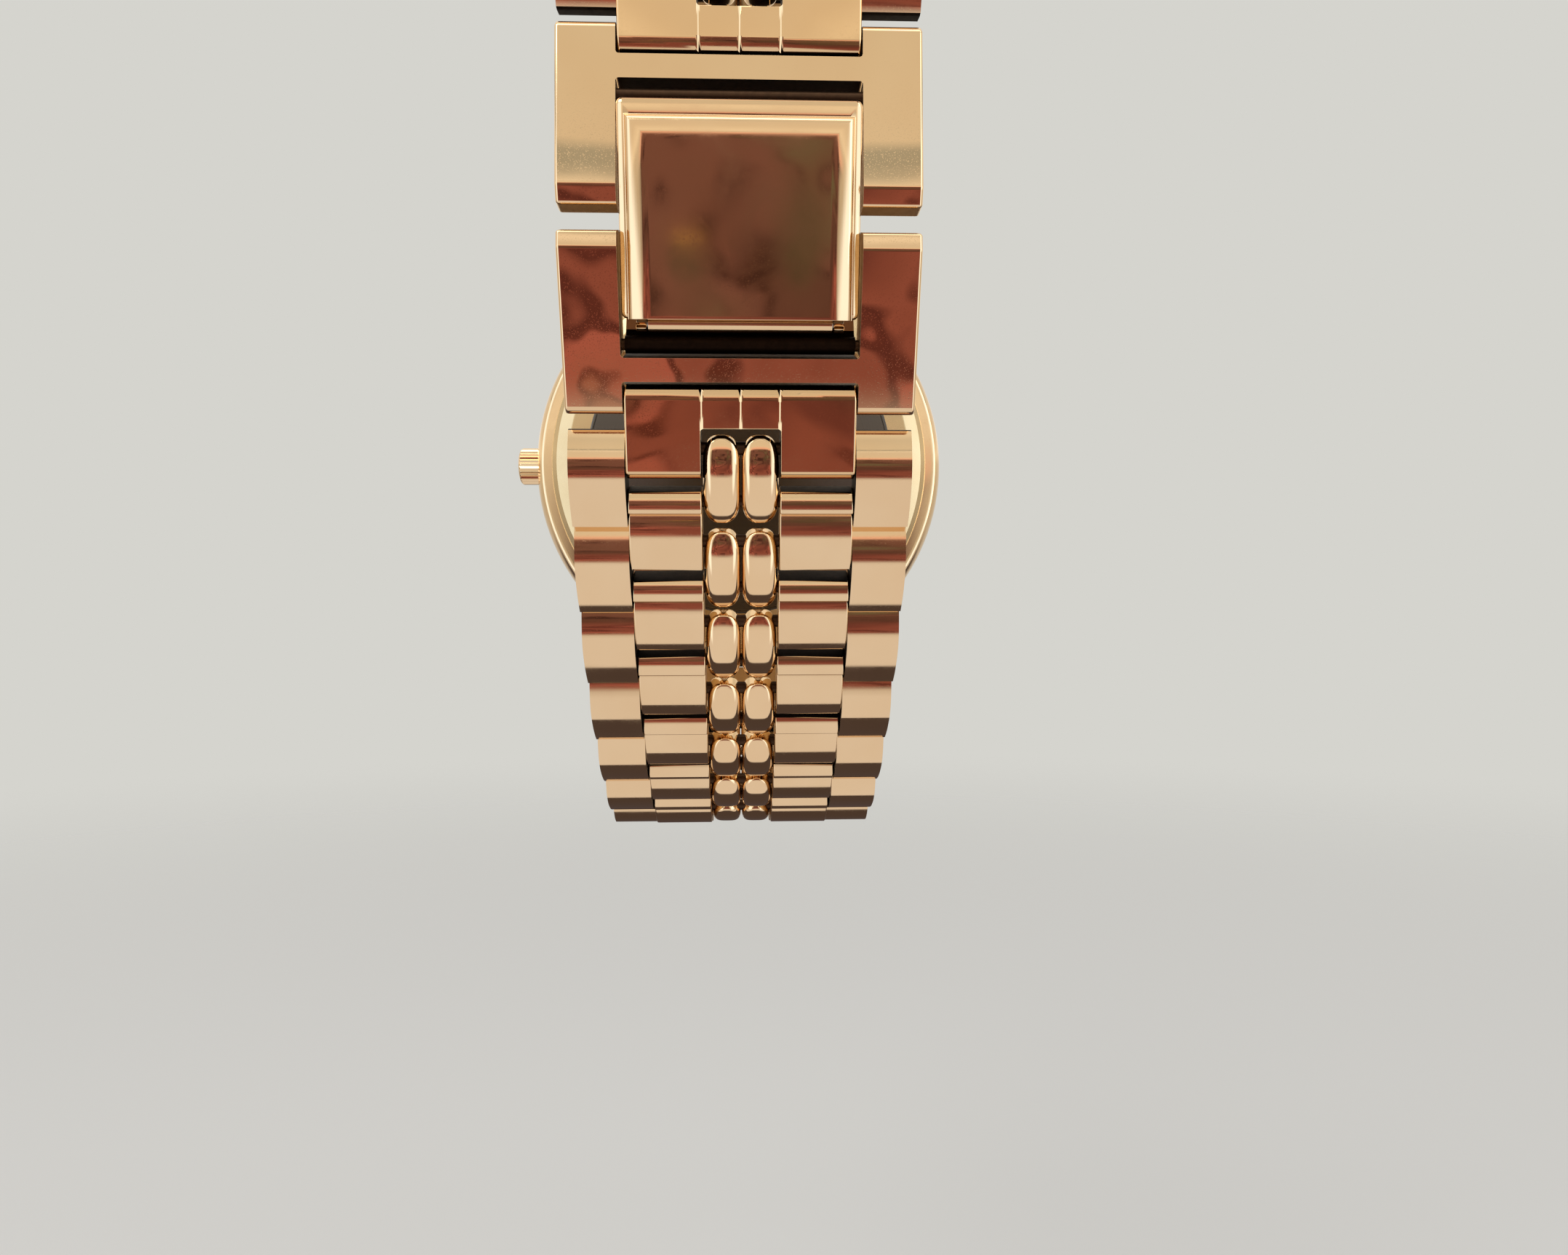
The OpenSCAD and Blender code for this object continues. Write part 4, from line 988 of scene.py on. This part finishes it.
# A faint finger film, in patches of some 6 mm, makes the shine uneven
glass_place = add_node(crystal_glass, "TexCoord")
film = add_node(
    crystal_glass, "TexNoise", {"Scale": 170, "Detail": 4}, {"Vector": (glass_place, "Object")}
)
film_level = add_node(
    crystal_glass, "MapRange",
    {"From Min": 0.5, "From Max": 0.8, "To Min": 0.005, "To Max": 0.05},
    {"Value": (film, 0)},
)
feed_shader(crystal_glass, roughness=film_level)
crystal_profile = (
    [(0, crystal_base), (crystal_r - 0.1, crystal_base), (crystal_r, crystal_base + 0.1)]
    + [(crystal_r, crystal_top - 0.25), (crystal_r - 0.25, crystal_top), (0, crystal_top)]
)
crystal = turn_profile("bevelled_crystal", crystal_profile, 96)
finish_head_piece(crystal, "crystal", "crystal", (crystal_glass,), angle=25)


def dress_node(material, *nodes):
    """Gives CAD nodes that keep their own mesh a real finish."""
    for node in nodes:
        for slot in frame["nodes"][node].material_slots:
            slot.material = material


clear_nylon = grained_finish(
    "clear_nylon_gasket", "#E4E2DA", "#F0EFEA", (0.225, 0.375), 0.8, 2e-6, Subsurface_Weight=0.15
)
black_rubber = grained_finish("black_nitrile_rubber", "#141414", "#1E1D1C", (0.45, 0.75), 0.25, 3e-6)
dress_node(clear_nylon, "crystal_gasket")
dress_node(black_rubber, "case_back_gasket", "crown_gasket")


# Case back
# A plate snapped into the case: a plated rim round a circular-brushed steel middle, darkened as painted
# shade.
# The brushing runs in fine rings about 0.1 mm apart.
back_middle_r = 13
back_base = -3.7
# Its steel is darkened well below steel's own colour, a painted shade seen through the links' gaps
back_steel_painted_shade = new_finish("circular_brushed_steel_painted_shade", Metallic=1, Base_Color=hex_colour("#645F59"))
back_rim_gold = plated_gold(
    "gold_plated_case_back_rim", "#D4B788", "#DEC59A", 0.22, 0.32, hairlines=0.3, ripple=2e-6
)


def head_axes(material):
    """The three axes counted from the head's middle, so that a pattern can run round it."""
    place = add_node(material, "TexCoord")
    centred = add_node(
        material, "Mapping", {"Location": (0, 0, -head_z * mm)}, {"Vector": (place, "Object")}
    )
    return add_node(material, "SeparateXYZ", {}, {0: (centred, 0)})


back_axes = head_axes(back_steel_painted_shade)
back_flat = add_node(back_steel_painted_shade, "CombineXYZ", {}, {"X": (back_axes, "X"), "Z": (back_axes, "Z")})
back_radius = add_node(back_steel_painted_shade, "VectorMath", {"operation": "LENGTH"}, {0: (back_flat, 0)})
back_rings = add_node(
    back_steel_painted_shade, "TexNoise", {"noise_dimensions": "1D", "Scale": 9000, "Detail": 3},
    {"W": (back_radius, "Value")},
)
feed_texture(back_steel_painted_shade, back_rings, (0.14, 0.3), 2e-6)
# From the centre outwards: the middle, a fine groove, the sloping rim, and the snap ring above
back_profile = [(0, back_base), (12.6, back_base), (12.7, back_base + 0.08), (12.8, back_base + 0.08)]
back_profile += [(12.9, back_base), (14.35, back_base), (14.5, -3.68), (15.5, -3.4), (15.9, -3.0)]
back_profile += [(16, -2.8), (16, case_base), (13.9, case_base), (13.9, case_base + 0.25)]
back_profile += [(13.1, case_base + 0.25), (13.1, -2.8), (0, -2.8)]
case_back = turn_profile("snap_case_back", back_profile, 128)
finish_head_piece(
    case_back, "case_back", "plated_gold", (back_steel_painted_shade, back_rim_gold),
    lambda c, n: math.hypot(c.x, c.y) > back_middle_r,
    angle=15,
)


# Dial
# A brass disc, sunray-brushed from the centre and lacquered a pale champagne.
# The minute track is a ring of 60 fine printed dashes.
ink_base, ink_top = 1.195, 1.215
track_inner, track_outer = 11.75, 12.3
sunray = new_finish("sunray_brushed_champagne_dial", Metallic=0.7, Coat_Weight=0.4, Coat_Roughness=0.05)
sun_axes = head_axes(sunray)
sun_angle = add_node(sunray, "Math", {"operation": "ARCTAN2"}, {0: (sun_axes, "X"), 1: (sun_axes, "Z")})
sun_rays = add_node(
    sunray, "TexNoise", {"noise_dimensions": "1D", "Scale": 90, "Detail": 4, "Roughness": 0.7},
    {"W": (sun_angle, 0)},
)
feed_texture(sunray, sun_rays, (0.28, 0.48), 3e-6, ("#DCCFB4", "#F2E8D2"))
dress_node(sunray, "dial")

track_ink = grained_finish("printed_brown_dial_ink", "#3A2C20", "#4A3A2A", (0.375, 0.625), 0.1, 1e-6)
dashes = []
for minute in range(60):
    half = 0.045 if minute % 5 else 0.09
    dash = add_block("dash", (-half, track_inner, ink_base), (half, track_outer, ink_top))
    dash.data.transform(Matrix.Rotation(math.radians(6 * minute), 4, "Z"))
    dashes.append(dash)
minute_track = join_pieces("printed_minute_track", dashes)
minute_track.data.materials.append(track_ink)
minute_track.data.transform(head_seat)
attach(minute_track, "head")


# Dial ring, hour markers and hands
# Diamond-cut brass batons and hands, polished and gilt, above the dial.
# Each has its long edges broken, which catches the light.
gilt_ring = plated_gold("gilt_brass_dial_ring", "#E6CFA6", "#EEDBB6", 0.25, 0.32, ripple=2e-6)
baton_gold = plated_gold(
    "polished_gilt_brass_batons", "#EBC88F", "#F4D8A4", 0.06, 0.12, hairlines=0.1, ripple=1e-6
)
dress_node(gilt_ring, "dial_ring")
markers = break_edges("hour_markers", "faceted_hour_markers", 0.08)
finish_piece(markers, "head", "hand_gold", "hour_markers", (baton_gold,))
# What lies below the hands themselves, their wheels and pipes, is left satin
wheels_end = 23.9
for hand in ("hour_hand", "minute_hand", "seconds_hand"):
    finish_piece(
        break_edges(hand, hand + "_polished", 0.03, 1), hand, "hand_gold", hand,
        (baton_gold, wrist_gold),
        lambda c, n: c.y < wheels_end,
    )


# Crown and stem
# A fluted crown screwed to its steel stem, sliding on a steel tube in the case.
# The crown is turned and milled from brass and plated; the stem and the tube are turned.
fluted_crown = break_edges("crown", "fluted_crown", 0.03)
finish_piece(fluted_crown, "crown", "plated_gold", "crown", (case_gold,))
stem_steel = ground_steel("turned_stainless_stem", "#B4B1AB", 0.28)
dress_node(stem_steel, "stem", "crown_tube")


# End pieces and spring bars
# Solid end pieces fill the space between the lugs and hold the first hinge pin.
# Spring bars with steel tips hold them to the case.
head_pin_y, head_pin_reach = 21.9, 20.9
for hour, head_pin_z in ((12, head_z + head_pin_reach), (6, head_z - head_pin_reach)):
    end_piece = break_edges(f"end_piece_{hour}", f"fitted_end_piece_{hour}", 0.07)
    finish_piece(
        end_piece, "head", "plated_gold", f"end_piece_{hour}", (case_gold, pin_steel, wrist_gold),
        lambda c, n: math.hypot(c.y - head_pin_y, c.z - head_pin_z) < link_pin_r + 0.01,
        lambda c, n: n.y < -0.6 or abs(n.x) > 0.95,
    )
dress_node(stem_steel, "spring_bars")


# Movement
# A small quartz movement in a moulded ring: none of it shows unless the back is off.
# Plated brass plates, a steel stator with a copper coil, a circuit board and a coin cell.
holder_nylon = grained_finish(
    "moulded_white_acetal_holder", "#D9D7D0", "#E7E5DF", (0.3375, 0.5625), 0.5, 2e-6
)
satin_brass = grained_finish(
    "satin_nickel_brass_plate", "#BFAE80", "#D2C294", (0.24, 0.4), 0.35, 2e-6, (1, 1, 0.08), Metallic=1
)
cell_steel = grained_finish(
    "rolled_stainless_cell_can", "#B2B2B0", "#C9C9C7", (0.1875, 0.3125), 0.4, 1e-6, (0.08, 1, 1),
    Metallic=1,
)
motor_copper = grained_finish(
    "enamelled_copper_coil", "#8E4B2A", "#C47A4A", (0.225, 0.375), 0.12, 8e-6, (1, 1, 0.1), Metallic=1
)
green_board = grained_finish(
    "solder_masked_fibreglass_board", "#17492F", "#22633F", (0.2625, 0.4375), 0.6, 4e-6, Coat_Weight=0.3
)
dress_node(holder_nylon, "movement_holder")
dress_node(satin_brass, "main_plate", "train_bridge")
dress_node(cell_steel, "battery", "battery_clamp", "rotor")
dress_node(motor_copper, "step_motor")
dress_node(green_board, "circuit_board")


# Floor
# A plain sheet of matt paper below the opened bracelet; it fades into the backdrop.
# The metal doesn't mirror it.
bpy.ops.object.select_all(action="DESELECT")
bpy.ops.mesh.primitive_plane_add(size=4, location=(0, 0, -0.11))
floor = set_primitive("floor")
floor.visible_glossy = False
floor_paper = new_finish("matt_paper_floor", Roughness=0.9, Base_Color=hex_colour("#E6E4DF"))
floor_place = add_node(floor_paper, "TexCoord")
floor_reach = add_node(floor_paper, "VectorMath", {"operation": "LENGTH"}, {0: (floor_place, "Object")})


def show_surface(material, node):
    """Links the node to the material's surface."""
    tree = material.node_tree
    tree.links.new(node.outputs[0], tree.nodes["Material Output"].inputs["Surface"])


smooth = {"interpolation_type": "SMOOTHSTEP"}
floor_fade = add_node(
    floor_paper, "MapRange", {**smooth, "From Min": 0.18, "From Max": 0.7},
    {"Value": (floor_reach, "Value")},
)
floor_gone = add_node(floor_paper, "BsdfTransparent")
floor_solid = floor_paper.node_tree.nodes["Principled BSDF"]
floor_mix = add_node(
    floor_paper, "MixShader", {}, {0: (floor_fade, 0), 1: (floor_solid, 0), 2: (floor_gone, 0)}
)
show_surface(floor_paper, floor_mix)
floor.data.materials.append(floor_paper)


# Backdrop and daylight
# The camera sees an even pale wall; metal sees daylight that is warm at eye level, pale above.
# Each height counts from 0 straight down to 1 straight up, with its tint as seen in the metal.
backdrop = "#D5D4CE"
plain_light = (0.62, 0.62, 0.62, 1)
window_tint = (1.32, 1.5, 1.75, 1)
dark_tint = (0.08, 0.062, 0.062, 1)
daylight = (
    (0.0, (0.80, 0.79, 0.82, 1)),
    (0.22, (0.80, 0.79, 0.82, 1)),
    (0.34, (0.56, 0.53, 0.50, 1)),
    (0.50, (0.62, 0.58, 0.50, 1)),
    (0.565, (0.74, 0.69, 0.60, 1)),
    (0.585, (1.0, 0.95, 0.84, 1)),
    (0.625, (0.84, 0.78, 0.68, 1)),
    (0.695, (0.80, 0.76, 0.69, 1)),
    (0.703, (1.0, 0.97, 0.9, 1)),
    (0.7102, (0.90, 0.86, 0.78, 1)),
    (0.7112, (0.44, 0.46, 0.43, 1)),
    (0.7192, (0.46, 0.48, 0.45, 1)),
    (0.7202, (0.80, 0.76, 0.67, 1)),
    (0.80, (0.73, 0.71, 0.64, 1)),
    (0.88, (1.0, 0.97, 0.9, 1)),
    (1.0, (1.0, 1.0, 0.98, 1)),
)


def paint_ramp(ramp, tints):
    """Sets a ramp's colours: the first and last of them at its ends, the rest between."""
    for element, (position, tint) in zip(ramp.elements, (tints[0], tints[-1])):
        element.position = position
        element.color = tint
    for position, tint in tints[1:-1]:
        ramp.elements.new(position).color = tint


world = bpy.data.worlds.new("pale_studio")
bpy.context.scene.world = world
world.use_nodes = True
bpy.context.scene.view_settings.view_transform = "Standard"
studio_way = add_node(world, "TexCoord")
studio_axes = add_node(world, "SeparateXYZ", {}, {0: (studio_way, "Generated")})
studio_height = add_node(
    world, "MapRange", {"From Min": -1, "From Max": 1}, {"Value": (studio_axes, "Z")}
)
studio_bands = add_node(world, "ValToRGB", {}, {0: (studio_height, 0)})
paint_ramp(studio_bands.color_ramp, daylight)
studio_side = add_node(world, "Math", {"operation": "ABSOLUTE"}, {0: (studio_axes, "X")})
# Windows at both sides in front, and dark ground below and behind the watch
studio_paint = (studio_bands, 0)
for tint, limits in (
    (window_tint, (((studio_side, 0), 0.4, 0.58), ((studio_axes, "Y"), -0.3, -0.55))),
    (dark_tint, (((studio_axes, "Y"), 0.09, 0.15), ((studio_axes, "Z"), -0.15, -0.4))),
):
    steps = [
        add_node(world, "MapRange", {**smooth, "From Min": start, "From Max": end}, {"Value": value})
        for value, start, end in limits
    ]
    share = add_node(world, "Math", {"operation": "MULTIPLY"}, {0: (steps[0], 0), 1: (steps[1], 0)})
    painted = add_node(
        world, "Mix", {"data_type": "RGBA", 7: tint}, {"Factor": (share, 0), 6: studio_paint}
    )
    studio_paint = (painted, 2)
studio_rays = add_node(world, "LightPath")
studio_seen = add_node(
    world, "Mix", {"data_type": "RGBA", 6: plain_light},
    {"Factor": (studio_rays, "Is Glossy Ray"), 7: studio_paint},
)
studio_shown = add_node(
    world, "Mix", {"data_type": "RGBA", 7: hex_colour(backdrop)},
    {"Factor": (studio_rays, "Is Camera Ray"), 6: (studio_seen, 2)},
)
world.node_tree.links.new(
    studio_shown.outputs[2], world.node_tree.nodes["Background"].inputs["Color"]
)

# Softboxes: a large one high on the left, a long strip above, and a faint fill from the right
lamp_aim = Vector((0, -0.02, 0))
for lamp_name, lamp_size, lamp_watts, lamp_place in (
    ("window_softbox", (0.40, 0.30), 0.75, (-0.30, -0.34, 0.42)),
    ("strip_softbox", (0.60, 0.06), 0.22, (0.0, -0.16, 0.26)),
    ("fill_softbox", (0.25, 0.35), 0.25, (0.42, -0.25, 0.10)),
):
    bpy.ops.object.select_all(action="DESELECT")
    bpy.ops.object.light_add(type="AREA", location=lamp_place)
    lamp = bpy.context.object
    lamp.name = lamp_name
    lamp.data.shape = "RECTANGLE"
    lamp.data.size, lamp.data.size_y = lamp_size
    lamp.data.energy = lamp_watts
    lamp.rotation_euler = (lamp_aim - Vector(lamp_place)).to_track_quat("-Z", "Y").to_euler()


# Glowing reflection card
# A dark red-brown glowing card stands behind the camera; it lights nothing and is seen only in the
# metal, a painted reflection such as the clasp shows.
# Its outline is a soft trapezoid, and its tone drifts between brown, mauve and olive.
card_y = -0.135
card_top, card_foot = 0.024, -0.085
card_tones = (
    (0.3, (0.15, 0.048, 0.045, 1)),
    (0.40, (0.23, 0.075, 0.065, 1)),
    (0.450, (0.26, 0.085, 0.075, 1)),
    (0.468, (0.10, 0.03, 0.028, 1)),
    (0.488, (0.12, 0.035, 0.032, 1)),
    (0.500, (0.37, 0.115, 0.105, 1)),
    (0.585, (0.34, 0.115, 0.10, 1)),
    (0.60, (0.15, 0.05, 0.042, 1)),
    (0.615, (0.31, 0.12, 0.095, 1)),
    (0.74, (0.28, 0.23, 0.15, 1)),
)
bpy.ops.object.select_all(action="DESELECT")
bpy.ops.mesh.primitive_plane_add(
    size=0.4, location=(0, card_y, -0.03), rotation=(math.pi / 2, 0, 0)
)
card = set_primitive("glowing_reflection_card")
card.visible_camera = card.visible_diffuse = card.visible_shadow = card.visible_transmission = False
glowing_card_material = bpy.data.materials.new("glowing_red_brown_card")
glowing_card_material.use_nodes = True
glowing_card_material.node_tree.nodes.remove(glowing_card_material.node_tree.nodes["Principled BSDF"])
card_place = add_node(glowing_card_material, "TexCoord")
card_axes = add_node(glowing_card_material, "SeparateXYZ", {}, {0: (card_place, "Object")})
# Its side edges sway over some 70 mm, and its blotches are some 30 mm across
card_sway, card_blotch = [
    add_node(
        glowing_card_material, "TexNoise", {"Scale": scale, "Detail": detail}, {"Vector": (card_place, "Object")}
    )
    for scale, detail in ((14, 2), (30, 3))
]
card_blotches = add_node(glowing_card_material, "ValToRGB", {}, {0: (card_blotch, 0)})
paint_ramp(card_blotches.color_ramp, card_tones)
# The card is dimmer and browner above, where the cover shows it, and redder below
card_level = add_node(
    glowing_card_material, "MapRange", {**smooth, "From Min": -0.044, "From Max": -0.026},
    {"Value": (card_axes, "Z")},
)
card_dim = add_node(
    glowing_card_material, "Mix",
    {"data_type": "RGBA", 6: (1.13, 1.16, 1.13, 1), 7: (0.55, 0.83, 0.78, 1)},
    {"Factor": (card_level, 0)},
)
card_stained = add_node(
    glowing_card_material, "Mix", {"data_type": "RGBA", "blend_type": "MULTIPLY", 0: 1},
    {6: (card_blotches, 0), 7: (card_dim, 2)},
)
# Its top edge glows pink, a painted highlight that shows in the metal
card_pink_glow_band = add_node(
    glowing_card_material, "MapRange",
    {**smooth, "From Min": card_top - 0.013, "From Max": card_top - 0.008},
    {"Value": (card_axes, "Z")},
)
card_edged = add_node(
    glowing_card_material, "Mix", {"data_type": "RGBA", 7: (1.0, 0.62, 0.52, 1)},
    {"Factor": (card_pink_glow_band, 0), 6: (card_stained, 2)},
)
# Three soft glowing patches, painted reflections that show in the cover: two dark olive ones and a small
# amber one
card_paint = (card_edged, 2)
for patch_place, patch_shape, patch_tint in (
    ((0.011, 0, -0.0138), (1, 0, 0.6), (0.115, 0.085, 0.055, 1)),
    ((-0.0089, 0, -0.0172), (1.3, 0, 1.5), (0.11, 0.08, 0.055, 1)),
    ((-0.0086, 0, -0.0134), (1.5, 0, 3.4), (0.42, 0.24, 0.09, 1)),
):
    patch_from = add_node(
        glowing_card_material, "VectorMath", {"operation": "SUBTRACT", 1: patch_place}, {0: (card_place, "Object")}
    )
    patch_squash = add_node(
        glowing_card_material, "VectorMath", {"operation": "MULTIPLY", 1: patch_shape}, {0: (patch_from, 0)}
    )
    patch_reach = add_node(glowing_card_material, "VectorMath", {"operation": "LENGTH"}, {0: (patch_squash, 0)})
    patch_soft = add_node(
        glowing_card_material, "MapRange",
        {**smooth, "From Min": 0.0062, "From Max": 0.0032, "To Max": 0.85},
        {"Value": (patch_reach, "Value")},
    )
    patch_mix = add_node(
        glowing_card_material, "Mix", {"data_type": "RGBA", 7: patch_tint},
        {"Factor": (patch_soft, 0), 6: card_paint},
    )
    card_paint = (patch_mix, 2)
# Half width: wide at the foot, narrow at the top
card_side = add_node(glowing_card_material, "Math", {"operation": "ABSOLUTE"}, {0: (card_axes, "X")})
card_half = add_node(
    glowing_card_material, "MapRange",
    {**smooth, "From Min": -0.07, "From Max": -0.03, "To Min": 0.085, "To Max": 0.06},
    {"Value": (card_axes, "Z")},
)
card_inset = add_node(
    glowing_card_material, "Math", {"operation": "SUBTRACT"}, {0: (card_half, 0), 1: (card_side, 0)}
)
card_wave = add_node(
    glowing_card_material, "Math", {"operation": "MULTIPLY_ADD", 1: 0.05, 2: -0.025}, {0: (card_sway, 0)}
)
card_edge = add_node(glowing_card_material, "Math", {"operation": "ADD"}, {0: (card_inset, 0), 1: (card_wave, 0)})
# Its four edges fade out
card_share = add_node(
    glowing_card_material, "MapRange", {**smooth, "From Min": 0, "From Max": 0.02}, {"Value": (card_edge, 0)}
)
for start, end in ((card_top, card_top - 0.008), (card_foot, card_foot + 0.02)):
    faded = add_node(
        glowing_card_material, "MapRange", {**smooth, "From Min": start, "From Max": end},
        {"Value": (card_axes, "Z")},
    )
    card_share = add_node(
        glowing_card_material, "Math", {"operation": "MULTIPLY"}, {0: (card_share, 0), 1: (faded, 0)}
    )
# The card's colour is emitted, not lit: a painted reflection
card_glow = add_node(glowing_card_material, "Emission", {}, {"Color": card_paint})
card_clear = add_node(glowing_card_material, "BsdfTransparent")
card_mix = add_node(
    glowing_card_material, "MixShader", {}, {0: (card_share, 0), 1: (card_clear, 0), 2: (card_glow, 0)}
)
show_surface(glowing_card_material, card_mix)
card.data.materials.append(glowing_card_material)
